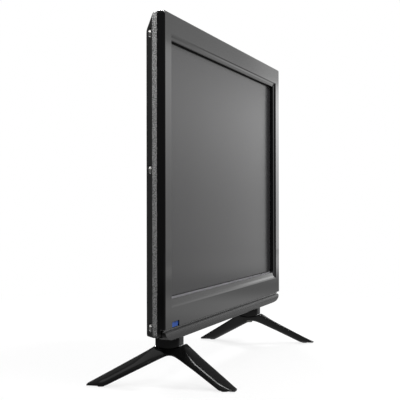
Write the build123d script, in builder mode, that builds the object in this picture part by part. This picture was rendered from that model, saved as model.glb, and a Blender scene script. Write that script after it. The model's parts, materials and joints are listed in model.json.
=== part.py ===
from build123d import *
import os
from math import atan2, cos, radians, sin, tan

# Flat screen television, 19 inch class, on two splayed feet. Sizes are in millimetres.
# +X is the viewer's right, +Y is away from the viewer and +Z is up.
# The origin lies on the floor, midway between the feet and midway between their toes.
# A depth is counted back from the front face, and a height z from the face's lower edge.

# One overrun for all cuts, and the clearances that pieces share
overrun = 2.0
seat_gap = 0.2
fit_gap = 0.15
wall = 2.2

# Screen and front face
screen_w = 409.8
screen_h = 230.4
border_side = 21.1
border_top = 21.4
border_low = 25.0
edge_round = 1.5

# Where the television stands
stand_height = 58.2
toe_front = 51.5
toe_back = 89.5

# Front bezel: skirt, rim wall round the glass and the cove that leads down to it
bezel_depth = 7.4
bezel_corner = 2.5
front_wall = 3.4
cove_sink = 2.4
glass_depth = 6.5
rim_wall = 1.5
skirt_drop = 5.7
ledge_depth = 4.4
cove_side = 4.6
cove_top = 4.6
cove_bottom = 7.2
cove_run_share = (0, 0.2, 0.5, 1)
cove_depth_share = (0, 0.45, 0.8, 1)

# Remote control window in the bezel's lower left corner
window_left = 18.0
window_w = 20.4
window_h = 5.1
window_recess = 1.1
window_thick = 2.5
window_flange = 1.6

# Chin trim under the bezel
chin_inset = 1.0
chin_drop = 11.9
chin_back = 8.0
chin_gap = 1.0
chin_bead_h = 0.8
chin_bead_depth = 2.1
chin_groove_h = 1.0
chin_groove_depth = 3.1
chin_face_depth = 0.4
chin_swell = 0.35
chin_lip = 1.0
chin_end_w = 30.0
chin_end_h = 8.0
corner_pull_share = 0.55

# Rear cover: textured rim, side and top bevel, flat back and the deep lower housing
cover_inset = 0.3
cover_start = 7.6
cover_rim_back = 12.0
cover_drop = 7.6
cover_corner = 6.0
cover_foot_corner = 3.0
bevel_run = 11.5
bevel_depth = 9.2
hump_depth = 38.0
hump_inset = 46.0
hump_run = 17.0
hump_top = 190.0
hump_corner = 14.0
hump_round = 2.0
tub_floor = 1.6

# Screws that close the rear cover, in round wells that break out of the side bevel
well_r = 3.9
well_inset = 4.0
well_low = 1.4
well_top_drop = 17.4
well_floor_depth = 13.4
top_well_drop = 4.0
top_well_x = 118.0
screw_r = 1.5
screw_head_r = 2.8
screw_head_h = 2.0
screw_len = 8.0
thread_gap = 0.05
screw_bite = 3.4
boss_r = 3.0

# Wall mount: four M4 inserts on a 100 mm square
vesa_pitch = 100.0
vesa_z = 112.0
insert_r = 3.0
insert_len = 9.0
insert_bore_r = 2.0
insert_boss_r = 5.4

# Vents high in the housing and sound slots in its underside
vent_w = 2.4
vent_h = 15.0
vent_pitch = 7.6
vent_count = 36
vent_z = 177.0
sound_slot_w = 2.2
sound_slot_len = 11.0
sound_pitch = 5.0
sound_count = 10

# Liquid crystal panel, back to front: chassis, reflector, light guide, sheets, frame, glass
panel_side = 10.3
panel_edge = 12.1
glass_side = 4.9
glass_edge = 5.0
glass_thick = 1.3
tin_thick = 0.6
tin_gap = 0.2
tin_clear = 0.6
shelf_thick = 0.8
shelf_margin = 0.7
sheets_thick = 0.7
guide_thick = 3.0
guide_margin_x = 2.8
guide_margin_top = 2.4
guide_margin_low = 0.8
reflector_thick = 0.3
chassis_thick = 1.0
chassis_rib_w = 9.0
chassis_rib_h = 1.0
chassis_rib_inset = 27.2
led_strip_thick = 0.9
led_count = 30
led_w = 3.6
led_h = 0.9
frame_play = 0.4

# Steel rails that hold the panel in the bezel
rail_thick = 1.0
rail_front = 6.0
rail_back = 13.0
rail_w = 6.6
rail_flange_depth = 7.4
rail_low_lift = 23.1
rail_high_drop = 23.5
rail_post_out = 3.8
rail_post_inset = 24.0
rail_post_r = 2.6
small_screw_r = 1.2
small_head_r = 2.2
small_head_h = 1.5

# Circuit boards on the panel's back
board_thick = 1.6
board_stand = 4.0
post_r = 2.4
main_x = -40.0
main_z = 66.0
main_w = 164.0
main_h = 96.0
power_x = 88.0
power_z = 80.0
power_w = 76.0
power_h = 124.0
driver_w = 220.0
driver_h = 22.0
driver_drop = 35.5
driver_thick = 1.0
board_screw_inset = 4.5
chip_w = 22.0
chip_h = 2.2
sink_w = 34.0
sink_base = 2.0
sink_fin_h = 6.0
sink_fin_w = 1.2
sink_fins = 7
tuner_w = 44.0
tuner_h = 14.0
tuner_deep = 9.0
transformer_w = 28.0
transformer_h = 30.0
transformer_deep = 12.0
core_lap = 4.0
capacitor_r = 5.5
capacitor_len = 24.0
capacitor_pitch = 13.0
power_sink_w = 3.0
power_sink_h = 34.0
power_sink_deep = 11.0

# Sockets that face the rear through the housing, all on one height
socket_z = 31.0
socket_lip = 0.4
hdmi_x = -106.0
hdmi_w = 15.4
hdmi_h = 6.4
hdmi_wall = 0.7
hdmi_tongue_w = 11.2
hdmi_tongue_h = 1.1
usb_x = -86.0
usb_w = 14.4
usb_h = 7.0
usb_wall = 0.7
usb_tongue_h = 1.9
vga_x = -54.0
vga_w = 17.0
vga_h = 8.6
vga_flange_w = 31.0
vga_flange_h = 12.0
vga_flange_thick = 1.2
jack_x = (-26.0, -10.0)
jack_w = 11.0
jack_bore_r = 1.8
jack_bore_len = 12.0
jack_nose_r = 3.2
aerial_x = 12.0
aerial_r = 4.75
aerial_neck_r = 4.4
aerial_bore_r = 4.0
aerial_pin_r = 0.6
aerial_reach = 9.0
inlet_x = 88.0
inlet_w = 24.0
inlet_h = 15.0
inlet_hole_h = 7.6
inlet_deep = 11.0
inlet_pin_r = 1.2
inlet_pin_pitch = 8.6

# Keys on the housing's rear, at the viewer's right
key_edge = 12.0
key_z = 102.0
key_r = 3.4
key_gap = 0.3
key_pitch = 13.0
key_proud = 1.2
key_travel = 0.6
key_flange_r = 4.6
key_flange_h = 1.0
key_count = 7
key_board_w = 13.0
key_board_margin = 11.0
key_board_depth = 26.4
switch_w = 6.0
switch_h = 2.6
plunger_r = 1.6
plunger_h = 1.0

# Loudspeakers low in the housing, facing down
speaker_neck_gap = 8.0
speaker_w = 84.0
speaker_low = -5.2
speaker_h = 15.6
speaker_front = 16.6
speaker_back = 35.2
driver_r = 7.6
driver_rim = 0.8
magnet_r = 5.0
magnet_h = 5.0
cone_thick = 0.5
dust_cap_r = 2.4

# Infrared receiver board behind the window
ir_board_depth = 9.2
ir_board_w = 30.0
ir_board_h = 10.6
ir_board_thick = 1.2
ir_board_low = 1.4
ir_dome_r = 2.0
ir_dome_z = 4.2
ir_dome_len = 4.4
ir_post_reach = 13.2
ir_post_z = 9.6
ir_post_r = 1.8
ir_lamp_r = 1.5

# Neck: the block that joins each foot to the steel bracket behind the panel
neck_inset = 64.8
neck_w = 15.2
neck_front = 8.6
neck_back = 32.4
neck_round = 1.6
tongue_front = 18.6
tongue_w = 12.0
tongue_top = 44.0
tenon_w = 9.0
tenon_len = 15.0
bracket_w = 46.0
bracket_top = 58.0
bracket_thick = 1.6
stand_screw_r = 2.0
stand_screw_head_r = 3.6
stand_screw_head_h = 2.4
stand_screw_z = (16.0, 34.0)
access_r = 4.4
neck_slot_gap = 0.4
stand_gap = 2.0

# Foot: a leaning blade with a front and a rear limb, drawn as (depth, height) over the floor
lean_share = 0.93
toe_turn_share = 0.033
toe_inset = 41.1
toe_front_low = -32.0
toe_back_low = 68.4
lip_depth = 6.4
lip_h = 38.6
rear_lip_depth = 32.6
rear_lip_h = 35.8
arch_depth = 20.0
arch_h = 26.7
arch_round = 12.0
blade_hub = 12.8
blade_toe = 9.4
blade_round = 3.6
nose_h = 2.6
sole_lift = 0.8
saddle_r = 30.0
saddle_h = 33.2
pad_r = 3.0
pad_front_depth = -41.0
pad_back_depth = 76.0
pad_thick = 1.8
leg_screw_r = 2.0
leg_screw_head_r = 3.4
leg_screw_head_h = 2.4
leg_screw_seat_h = 28.6
leg_screw_len = 16.0
tenon_drop = 3.6

# Plugs and leads inside the set
plug_w = 5.0
plug_h = 4.0
plug_inset = 1.0
plug_len = 8.0
harness_z = 86.0
harness_len = 18.0
harness_pitch = 4.0
harness_bow = 3.0
speaker_plug_z = (54.0, 32.0)
key_plug_z = 41.0
lead_r = 0.8
lead_pitch = 2.4
lead_turn = 4.0
lead_bend = 2.0
lead_exit = 3.0
key_lead_lift = 3.0
ribbon_x = -40.0
ribbon_w = 22.0
ribbon_thick = 0.4
ribbon_lift = 1.2
ribbon_end = 4.0
ribbon_slope = 10.0

# Places that follow from the sizes above
face_y = (toe_front - toe_back) / 2
face_w = screen_w + 2 * border_side
face_h = border_low + screen_h + border_top
half_face = face_w / 2
chin_w = face_w - 2 * chin_inset
hump_base_w = face_w - 2 * hump_inset
well_heights = (well_low, face_h / 2 + well_low, face_h - well_top_drop)
body_w = face_w + 2 * edge_round
body_top = face_h + edge_round
body_h = body_top + skirt_drop
body_mid = (body_top - skirt_drop) / 2
screen_low = border_low
screen_z = screen_low + screen_h / 2
half_cover = body_w / 2 - cover_inset
cover_top = body_top - cover_inset
back_depth = cover_rim_back + bevel_depth
panel_w = screen_w + 2 * panel_side
panel_h = screen_h + 2 * panel_edge
glass_w = screen_w + 2 * glass_side
glass_h = screen_h + 2 * glass_edge
panel_low = screen_z - panel_h / 2
panel_high = screen_z + panel_h / 2
chassis_rib_x = (chassis_rib_inset - panel_w / 2, panel_w / 2 - chassis_rib_inset)
rail_low = panel_low + rail_low_lift
rail_high = panel_high - rail_high_drop
rail_post_x = panel_w / 2 + rail_post_out
rail_post_z = (rail_low + rail_post_inset, rail_high - rail_post_inset)
driver_z = panel_high - driver_drop
tin_front = glass_depth - tin_gap - tin_thick
glass_back = glass_depth + glass_thick
sheets_front = glass_back + shelf_thick
guide_front = sheets_front + sheets_thick
reflector_front = guide_front + guide_thick
chassis_front = reflector_front + reflector_thick
chassis_back = chassis_front + chassis_thick
board_front = chassis_back + board_stand
board_back = board_front + board_thick
hump_inner = hump_depth - wall
neck_x = -half_face + neck_inset + neck_w / 2
speaker_x = -neck_x - neck_w / 2 - speaker_neck_gap - speaker_w / 2
key_x = hump_base_w / 2 - hump_run - key_edge
neck_mid_depth = (neck_front + neck_back) / 2
floor_z = -stand_height


def face_plane(depth):
    """A plane square to the screen at a depth: x runs right, y runs up from the face's edge."""
    return Plane(
        origin=(0, face_y + depth, stand_height), x_dir=(1, 0, 0), z_dir=(0, -1, 0)
    )


def level_plane(z):
    """A level plane at height z, with x to the right and y to the rear, counted from the face."""
    return Plane(origin=(0, face_y, stand_height + z), x_dir=(1, 0, 0), z_dir=(0, 0, 1))


def spot(x, z, depth):
    """A point in space for a place on the face and a depth."""
    return (x, face_y + depth, stand_height + z)


def block(x_low, x_high, z_low, z_high, front, back, mode=Mode.ADD, corner=0):
    """A slab between two depths, with corners that can be rounded."""
    with BuildSketch(face_plane(back)) as profile:
        with Locations(((x_low + x_high) / 2, (z_low + z_high) / 2)):
            if corner:
                RectangleRounded(x_high - x_low, z_high - z_low, corner)
            else:
                Rectangle(x_high - x_low, z_high - z_low)
    extrude(profile.sketch, amount=back - front, mode=mode)


def rod(places, front, back, radius, mode=Mode.ADD):
    """Round bars at (x, z) places, from one depth to another."""
    with BuildSketch(face_plane(back)) as profile:
        with Locations(*places):
            Circle(radius)
    extrude(profile.sketch, amount=back - front, mode=mode)


def upright(places, z_low, z_high, radius, mode=Mode.ADD):
    """Round bars at (x, depth) places, from one height to another."""
    with BuildSketch(level_plane(z_low)) as profile:
        with Locations(*places):
            Circle(radius)
    extrude(profile.sketch, amount=z_high - z_low, mode=mode)


def slab(x_low, x_high, front, back, z_low, z_high, mode=Mode.ADD, corner=0):
    """A level slab between two heights."""
    with BuildSketch(level_plane(z_low)) as profile:
        with Locations(((x_low + x_high) / 2, (front + back) / 2)):
            if corner:
                RectangleRounded(x_high - x_low, back - front, corner)
            else:
                Rectangle(x_high - x_low, back - front)
    extrude(profile.sketch, amount=z_high - z_low, mode=mode)


def save(piece, name):
    """Labels a finished piece and writes it under that name."""
    piece.part.label = name
    export_step(piece.part, "parts/" + name + ".step")


def save_mirrored(piece, name):
    """Writes the right-hand twin of a left-hand piece."""
    with BuildPart() as twin:
        mirror(piece.part, about=Plane.YZ)
    save(twin, name)


os.makedirs("parts", exist_ok=True)

# Places shared by the bezel's bosses, the cover's wells and the screws in them
side_well_x = half_cover - well_inset
well_places = [(side * side_well_x, z) for side in (-1, 1) for z in well_heights]
top_well_z = cover_top - top_well_drop
well_places += [(side * top_well_x, top_well_z) for side in (-1, 1)]
boss_back = well_floor_depth - tub_floor - seat_gap
cover_screw_tip = well_floor_depth - screw_len
rail_posts = [(side * rail_post_x, z) for side in (-1, 1) for z in rail_post_z]
panel_screw_tip = rail_flange_depth - screw_bite
ir_mid = -half_face + window_left + window_w / 2
ir_posts = [(ir_mid + side * ir_post_reach, ir_post_z) for side in (-1, 1)]
ledge_start = front_wall - rim_wall / 2

# Front bezel
with BuildPart() as front_bezel:
    with BuildSketch(face_plane(bezel_depth)):
        with Locations((0, body_mid)):
            RectangleRounded(body_w, body_h, bezel_corner)
    extrude(amount=bezel_depth)
    fillet(front_bezel.faces().sort_by(Axis.Y)[0].edges(), edge_round)
    # Hollow back, which leaves the outer skirt and the rim wall round the glass
    with BuildSketch(face_plane(bezel_depth)) as hollow:
        with Locations((0, body_mid)):
            Rectangle(body_w - 2 * wall, body_h - 2 * wall)
        with Locations((0, screen_z)):
            Rectangle(screen_w + 2 * rim_wall, screen_h + 2 * rim_wall, mode=Mode.SUBTRACT)
    extrude(amount=bezel_depth - front_wall, mode=Mode.SUBTRACT)
    block(
        -screen_w / 2 - 2 * rim_wall,
        screen_w / 2 + 2 * rim_wall,
        screen_low - 2 * rim_wall,
        screen_low + screen_h + 2 * rim_wall,
        glass_depth - seat_gap,
        bezel_depth + overrun,
        mode=Mode.SUBTRACT,
    )
    # Opening and its cove
    block(
        -screen_w / 2,
        screen_w / 2,
        screen_low,
        screen_low + screen_h,
        -overrun,
        bezel_depth + overrun,
        mode=Mode.SUBTRACT,
    )
    for run, sink in zip(cove_run_share, cove_depth_share):
        left = screen_w / 2 + cove_side * (1 - run)
        low = screen_low - cove_bottom * (1 - run)
        high = screen_low + screen_h + cove_top * (1 - run)
        with BuildSketch(face_plane(cove_sink * sink)):
            with Locations((0, (low + high) / 2)):
                Rectangle(2 * left, high - low)
    loft(ruled=True, mode=Mode.SUBTRACT)
    # Bosses that the cover's screws bite into
    rod(well_places, front_wall, boss_back, boss_r)
    # Step below the face, where the chin trim sits
    block(
        -body_w / 2 - overrun,
        body_w / 2 + overrun,
        -skirt_drop - overrun,
        0,
        -overrun,
        ledge_depth,
        mode=Mode.SUBTRACT,
    )
    slab(-body_w / 2 + wall, body_w / 2 - wall, ledge_start, bezel_depth, 0, rim_wall)
    block(
        -body_w / 2 + wall,
        body_w / 2 - wall,
        -skirt_drop,
        rim_wall,
        ledge_depth,
        ledge_depth + rim_wall,
    )
    # Notch for the remote control window
    block(
        -half_face + window_left,
        -half_face + window_left + window_w,
        -overrun,
        window_h,
        -overrun,
        ledge_depth,
        mode=Mode.SUBTRACT,
    )
    # Posts for the panel rails and for the receiver board
    rod(rail_posts, front_wall, rail_flange_depth, rail_post_r)
    rod(rail_posts, panel_screw_tip, rail_flange_depth + overrun, small_screw_r, Mode.SUBTRACT)
    rod(ir_posts, front_wall, ir_board_depth, ir_post_r)
    rod(well_places, cover_screw_tip, boss_back + overrun, screw_r, Mode.SUBTRACT)
save(front_bezel, "front_bezel")

# Remote control window
with BuildPart() as ir_window:
    block(
        -half_face + window_left + fit_gap,
        -half_face + window_left + window_w - fit_gap,
        fit_gap,
        window_h - fit_gap,
        window_recess,
        window_recess + window_thick,
    )
    block(
        -half_face + window_left - window_flange,
        -half_face + window_left + window_w + window_flange,
        rim_wall + fit_gap,
        window_h + window_flange,
        window_recess + window_thick,
        ledge_depth,
    )
save(ir_window, "ir_window")

# Chin trim
with BuildPart() as chin_trim:
    bead_low = -chin_gap - chin_bead_h
    groove_low = bead_low - chin_groove_h
    face_mid = (groove_low - chin_drop) / 2
    side_plane = Plane(origin=spot(-chin_w / 2, 0, 0), x_dir=(0, 1, 0), z_dir=(1, 0, 0))
    with BuildSketch(side_plane) as trim:
        with BuildLine():
            Polyline(
                (ledge_depth - seat_gap, -chin_gap),
                (chin_bead_depth + chin_swell, -chin_gap),
                (chin_bead_depth, bead_low),
                (chin_groove_depth, bead_low),
                (chin_groove_depth, groove_low),
                (chin_face_depth + chin_lip, groove_low),
                (chin_face_depth, groove_low - chin_lip),
            )
            ThreePointArc(
                (chin_face_depth, groove_low - chin_lip),
                (chin_face_depth - chin_swell, face_mid),
                (chin_face_depth, -chin_drop + chin_lip),
            )
            Polyline(
                (chin_face_depth, -chin_drop + chin_lip),
                (chin_face_depth + chin_lip, -chin_drop),
                (chin_back, -chin_drop),
                (chin_back, -cover_drop - seat_gap),
                (ledge_depth - seat_gap, -cover_drop - seat_gap),
                (ledge_depth - seat_gap, -chin_gap),
            )
        make_face()
    extrude(trim.sketch, amount=chin_w, dir=(1, 0, 0))
    # Round the two lower corners
    with BuildSketch(face_plane(chin_back + overrun)) as front_outline:
        with BuildLine():
            end_x = chin_w / 2
            arc_x = end_x - chin_end_w
            arc_z = -chin_drop + chin_end_h
            for side in (-1, 1):
                Bezier(
                    (side * end_x, arc_z),
                    (side * end_x, arc_z - corner_pull_share * chin_end_h),
                    (side * (end_x - (1 - corner_pull_share) * chin_end_w), -chin_drop),
                    (side * arc_x, -chin_drop),
                )
            Polyline((-end_x, arc_z), (-end_x, 0), (end_x, 0), (end_x, arc_z))
            Line((-arc_x, -chin_drop), (arc_x, -chin_drop))
        make_face()
    extrude(
        front_outline.sketch,
        amount=chin_back + 2 * overrun,
        both=True,
        mode=Mode.INTERSECT,
    )
save(chin_trim, "chin_trim")

# Shape of the rear cover, used for its outside and, drawn in by the wall, for its inside
bevel_turn = atan2(bevel_run, bevel_depth)
hump_rise = hump_depth - back_depth
hump_turn = atan2(hump_rise, hump_run)


def cover_outline(depth, half_w, z_low, z_high, foot_corner, top_corner):
    """An upright outline with its own radii at the foot and at the top."""
    with BuildSketch(face_plane(depth)) as outline:
        with Locations((0, (z_low + z_high) / 2)):
            Rectangle(2 * half_w, z_high - z_low)
        fillet(outline.vertices().group_by(Axis.Y)[0], foot_corner)
        fillet(outline.vertices().group_by(Axis.Y)[-1], top_corner)
    return outline.sketch


def cover_form(shrink, start):
    """Rim, bevel, flat back and lower housing, drawn in by shrink on every side."""
    rim_half = half_cover - shrink
    rim_back = cover_rim_back - shrink * tan(bevel_turn / 2)
    bevel_in = bevel_run + shrink * tan((radians(90) - bevel_turn) / 2)
    low = -cover_drop + shrink
    foot_corner = cover_foot_corner - shrink / 2
    top_corner = cover_corner - shrink / 2
    rim = cover_outline(rim_back, rim_half, low, cover_top - shrink, foot_corner, top_corner)
    extrude(rim, amount=rim_back - start)
    flat = cover_outline(
        back_depth - shrink, half_cover - bevel_in, low, cover_top - bevel_in, foot_corner, top_corner
    )
    loft([rim, flat], ruled=True)
    hump_in = shrink * tan(hump_turn / 2)
    base_half = hump_base_w / 2 - hump_in
    top_z = hump_top - hump_in
    base = cover_outline(
        back_depth - shrink, base_half, low, top_z + hump_run, foot_corner, hump_corner
    )
    tail = cover_outline(
        hump_depth - shrink, base_half - hump_run, low, top_z, foot_corner, hump_corner
    )
    loft([base, tail], ruled=True)


# Places on the housing's rear wall
vesa_places = [
    (side * vesa_pitch / 2, vesa_z + level * vesa_pitch / 2) for side in (-1, 1) for level in (-1, 1)
]
key_places = [
    (key_x, key_z + (number - (key_count - 1) / 2) * key_pitch) for number in range(key_count)
]
key_board_low = key_places[0][1] - key_board_margin
key_board_high = key_places[-1][1] + key_board_margin
key_post_places = [
    (key_x, key_board_low + board_screw_inset / 2),
    (key_x, key_board_high - board_screw_inset / 2),
]
access_places = [(side * neck_x, z) for side in (-1, 1) for z in stand_screw_z]
vent_places = [
    ((number - (vent_count - 1) / 2) * vent_pitch, vent_z) for number in range(vent_count)
]
key_board_back = key_board_depth + board_thick
insert_boss_front = hump_depth - insert_len - wall

# The space inside the rear cover, with the cover's own bosses left out of it
with BuildPart() as cavity:
    cover_form(wall, cover_start - overrun)
    with BuildSketch(face_plane(back_depth)):
        with Locations(*well_places):
            Circle(well_r + wall)
    extrude(amount=back_depth - well_floor_depth + tub_floor, mode=Mode.SUBTRACT)
    rod(well_places, cover_start - overrun, well_floor_depth - tub_floor, boss_r + seat_gap)
    rod(vesa_places, insert_boss_front, hump_depth, insert_boss_r, Mode.SUBTRACT)
    rod(key_post_places, key_board_back, hump_depth, post_r, Mode.SUBTRACT)

# Rear cover
with BuildPart() as rear_cover:
    cover_form(0, cover_start)
    fillet(rear_cover.faces().sort_by(Axis.Y)[-1].edges(), hump_round)
    add(cavity.part, mode=Mode.SUBTRACT)
    # Screw wells and their through holes
    rod(well_places, well_floor_depth, hump_depth, well_r, Mode.SUBTRACT)
    rod(well_places, cover_start - overrun, hump_depth, screw_r + fit_gap, Mode.SUBTRACT)
    # Wall mount bosses take the inserts
    rod(vesa_places, hump_depth - insert_len, hump_depth + overrun, insert_r + fit_gap, Mode.SUBTRACT)
    # Keys, with a guide hole for each
    rod(key_places, hump_inner - overrun, hump_depth + overrun, key_r + key_gap, Mode.SUBTRACT)
    rod(
        key_post_places,
        key_board_depth,
        key_board_depth + screw_bite,
        small_screw_r,
        Mode.SUBTRACT,
    )
    # Screwdriver holes for the neck screws
    rod(access_places, hump_inner - overrun, hump_depth + overrun, access_r, Mode.SUBTRACT)
    # Vents
    with BuildSketch(face_plane(hump_depth + overrun)):
        with Locations(*vent_places):
            Rectangle(vent_w, vent_h)
    extrude(amount=wall + 2 * overrun, mode=Mode.SUBTRACT)
    # Openings for the sockets
    socket_cut_front = hump_inner - overrun
    socket_cut_back = hump_depth + overrun
    for x, w, h in (
        (hdmi_x, hdmi_w, hdmi_h),
        (usb_x, usb_w, usb_h),
        (vga_x, vga_w, vga_h),
        (inlet_x, inlet_w, inlet_h),
    ):
        block(
            x - w / 2 - fit_gap * 2,
            x + w / 2 + fit_gap * 2,
            socket_z - h / 2 - fit_gap * 2,
            socket_z + h / 2 + fit_gap * 2,
            socket_cut_front,
            socket_cut_back,
            mode=Mode.SUBTRACT,
        )
    rod([(x, socket_z) for x in jack_x], socket_cut_front, socket_cut_back, jack_nose_r + fit_gap, Mode.SUBTRACT)
    rod([(aerial_x, socket_z)], socket_cut_front, socket_cut_back, aerial_neck_r + fit_gap * 2, Mode.SUBTRACT)
    # Slots in the underside: one for each neck, and a row under each loudspeaker
    for side in (-1, 1):
        slab(
            side * neck_x - neck_w / 2 - neck_slot_gap,
            side * neck_x + neck_w / 2 + neck_slot_gap,
            cover_start - overrun,
            neck_back + neck_slot_gap,
            -cover_drop - overrun,
            -cover_drop + wall + overrun,
            mode=Mode.SUBTRACT,
        )
        for number in range(sound_count):
            slot_x = side * speaker_x + (number - (sound_count - 1) / 2) * sound_pitch
            slab(
                slot_x - sound_slot_w / 2,
                slot_x + sound_slot_w / 2,
                (speaker_front + speaker_back) / 2 - sound_slot_len / 2,
                (speaker_front + speaker_back) / 2 + sound_slot_len / 2,
                -cover_drop - overrun,
                -cover_drop + wall + overrun,
                mode=Mode.SUBTRACT,
            )
save(rear_cover, "rear_cover")


def lead(points, radius):
    """A wire of straight runs and arcs through (x, z, depth) points."""
    with BuildLine() as path:
        FilletPolyline(*[spot(*point) for point in points], radius=lead_bend)
    with BuildSketch(Plane(origin=path.line @ 0, z_dir=path.line % 0)) as ring:
        Circle(radius)
    sweep(ring.sketch, path=path.line)


def ring_frame(outer_w, outer_h, inner_w, inner_h, mid_z, front, back):
    """A rectangular frame centred on the screen's middle line."""
    with BuildSketch(face_plane(back)) as profile:
        with Locations((0, mid_z)):
            Rectangle(outer_w, outer_h)
            Rectangle(inner_w, inner_h, mode=Mode.SUBTRACT)
    extrude(profile.sketch, amount=back - front)


def screws(places, seat, head_r, head_h, shank_r, length, toward=-1):
    """Pan head screws: the head stands behind its seat and the shank runs forward."""
    with BuildSketch(face_plane(seat)) as heads:
        with Locations(*places):
            Circle(head_r)
    extrude(heads.sketch, amount=toward * head_h)
    with BuildSketch(face_plane(seat)) as shanks:
        with Locations(*places):
            Circle(shank_r)
    extrude(shanks.sketch, amount=-toward * length)


# Plugs on the boards, as (x_low, x_high, z_low, z_high)
main_left = main_x - main_w / 2
main_right = main_x + main_w / 2
main_top = main_z + main_h / 2
power_left = power_x - power_w / 2
harness_plug = (main_right - plug_inset - plug_w, main_right - plug_inset, harness_z, harness_z + harness_len)
speaker_plugs = (
    (main_left + plug_inset, main_left + plug_inset + plug_w, speaker_plug_z[0], speaker_plug_z[0] + plug_len),
    (main_right - plug_inset - plug_w, main_right - plug_inset, speaker_plug_z[1], speaker_plug_z[1] + plug_len),
)
key_plug = (main_right - plug_inset - plug_w, main_right - plug_inset, key_plug_z, key_plug_z + plug_len)
ribbon_plug = (
    ribbon_x - ribbon_w / 2,
    ribbon_x + ribbon_w / 2,
    main_top - plug_inset - plug_w,
    main_top - plug_inset,
)
main_plugs = (harness_plug, key_plug, ribbon_plug) + speaker_plugs
power_plug = (power_left + plug_inset, power_left + plug_inset + plug_w, harness_z, harness_z + harness_len)

# Screen glass
with BuildPart() as lcd_glass:
    block(
        -glass_w / 2,
        glass_w / 2,
        screen_z - glass_h / 2,
        screen_z + glass_h / 2,
        glass_depth,
        glass_back,
    )
save(lcd_glass, "lcd_glass")

# Steel frame that holds the panel's layers together
with BuildPart() as panel_frame:
    tin_open_w = screen_w + 2 * (rim_wall + tin_clear)
    tin_open_h = screen_h + 2 * (rim_wall + tin_clear)
    ring_frame(panel_w, panel_h, tin_open_w, tin_open_h, screen_z, tin_front, tin_front + tin_thick)
    ring_frame(
        panel_w,
        panel_h,
        panel_w - 2 * tin_thick,
        panel_h - 2 * tin_thick,
        screen_z,
        tin_front,
        chassis_back,
    )
save(panel_frame, "panel_frame")

# Plastic frame: the glass rests on its shelf, and the light guide lies behind the shelf
inner_w = panel_w - 2 * (tin_thick + tin_gap)
inner_h = panel_h - 2 * (tin_thick + tin_gap)
guide_w = screen_w + 2 * guide_margin_x
guide_low = screen_low - guide_margin_low
guide_high = screen_low + screen_h + guide_margin_top
well_low = guide_low - led_h - led_strip_thick - frame_play
with BuildPart() as panel_tray:
    ring_frame(
        inner_w,
        inner_h,
        glass_w + 2 * frame_play,
        glass_h + 2 * frame_play,
        screen_z,
        glass_depth,
        glass_back,
    )
    ring_frame(
        inner_w,
        inner_h,
        screen_w + 2 * shelf_margin,
        screen_h + 2 * shelf_margin,
        screen_z,
        glass_back,
        sheets_front,
    )
    block(
        -inner_w / 2,
        inner_w / 2,
        screen_z - inner_h / 2,
        screen_z + inner_h / 2,
        sheets_front,
        chassis_front,
    )
    block(
        -guide_w / 2 - frame_play,
        guide_w / 2 + frame_play,
        well_low,
        guide_high + frame_play,
        sheets_front,
        chassis_front + overrun,
        mode=Mode.SUBTRACT,
    )
save(panel_tray, "panel_tray")

# Optical sheets, light guide and reflector
with BuildPart() as optical_sheets:
    block(-guide_w / 2, guide_w / 2, guide_low, guide_high, sheets_front, guide_front)
save(optical_sheets, "optical_sheets")

with BuildPart() as light_guide:
    block(-guide_w / 2, guide_w / 2, guide_low, guide_high, guide_front, reflector_front)
save(light_guide, "light_guide")

with BuildPart() as reflector_sheet:
    block(-guide_w / 2, guide_w / 2, guide_low, guide_high, reflector_front, chassis_front)
save(reflector_sheet, "reflector_sheet")

# Light bar under the guide: a strip with a row of small lamps on it
with BuildPart() as led_bar:
    strip_top = guide_low - led_h
    block(
        -guide_w / 2,
        guide_w / 2,
        strip_top - led_strip_thick,
        strip_top,
        sheets_front + seat_gap,
        chassis_front,
    )
    led_step = guide_w / led_count
    for number in range(led_count):
        led_mid = -guide_w / 2 + (number + 0.5) * led_step
        block(
            led_mid - led_w / 2,
            led_mid + led_w / 2,
            strip_top,
            guide_low,
            guide_front,
            reflector_front,
        )
save(led_bar, "led_bar")


# Circuit board outlines as (x_low, x_high, z_low, z_high), and their screws
def corners(x_low, x_high, z_low, z_high, inset):
    """Places near the four corners of a board."""
    return [(x, z) for x in (x_low + inset, x_high - inset) for z in (z_low + inset, z_high - inset)]


main_edges = (main_x - main_w / 2, main_x + main_w / 2, main_z - main_h / 2, main_z + main_h / 2)
power_edges = (
    power_x - power_w / 2,
    power_x + power_w / 2,
    power_z - power_h / 2,
    power_z + power_h / 2,
)
driver_edges = (-driver_w / 2, driver_w / 2, driver_z - driver_h / 2, driver_z + driver_h / 2)
main_screws = corners(*main_edges, board_screw_inset)
power_screws = corners(*power_edges, board_screw_inset)
driver_screws = [
    (side * (driver_w / 2 - board_screw_inset), driver_z) for side in (-1, 1)
]
driver_front = chassis_back + chassis_rib_h
driver_back = driver_front + driver_thick
bracket_back = tongue_front
bracket_face = bracket_back - bracket_thick

# Steel chassis behind the layers, with pressed ribs and posts for the boards
with BuildPart() as panel_chassis:
    block(
        -inner_w / 2,
        inner_w / 2,
        screen_z - inner_h / 2,
        screen_z + inner_h / 2,
        chassis_front,
        chassis_back,
    )
    for rib_x in chassis_rib_x:
        block(
            rib_x - chassis_rib_w / 2,
            rib_x + chassis_rib_w / 2,
            screen_low,
            screen_low + screen_h,
            chassis_back,
            chassis_back + chassis_rib_h,
        )
    rod(main_screws + power_screws, chassis_back, board_front, post_r)
    rod(
        main_screws + power_screws,
        chassis_back,
        board_front + overrun,
        small_screw_r,
        Mode.SUBTRACT,
    )
    rod(driver_screws, chassis_back, driver_front, post_r)
    rod(driver_screws, chassis_back, driver_front + overrun, small_screw_r, Mode.SUBTRACT)
save(panel_chassis, "panel_chassis")

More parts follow.
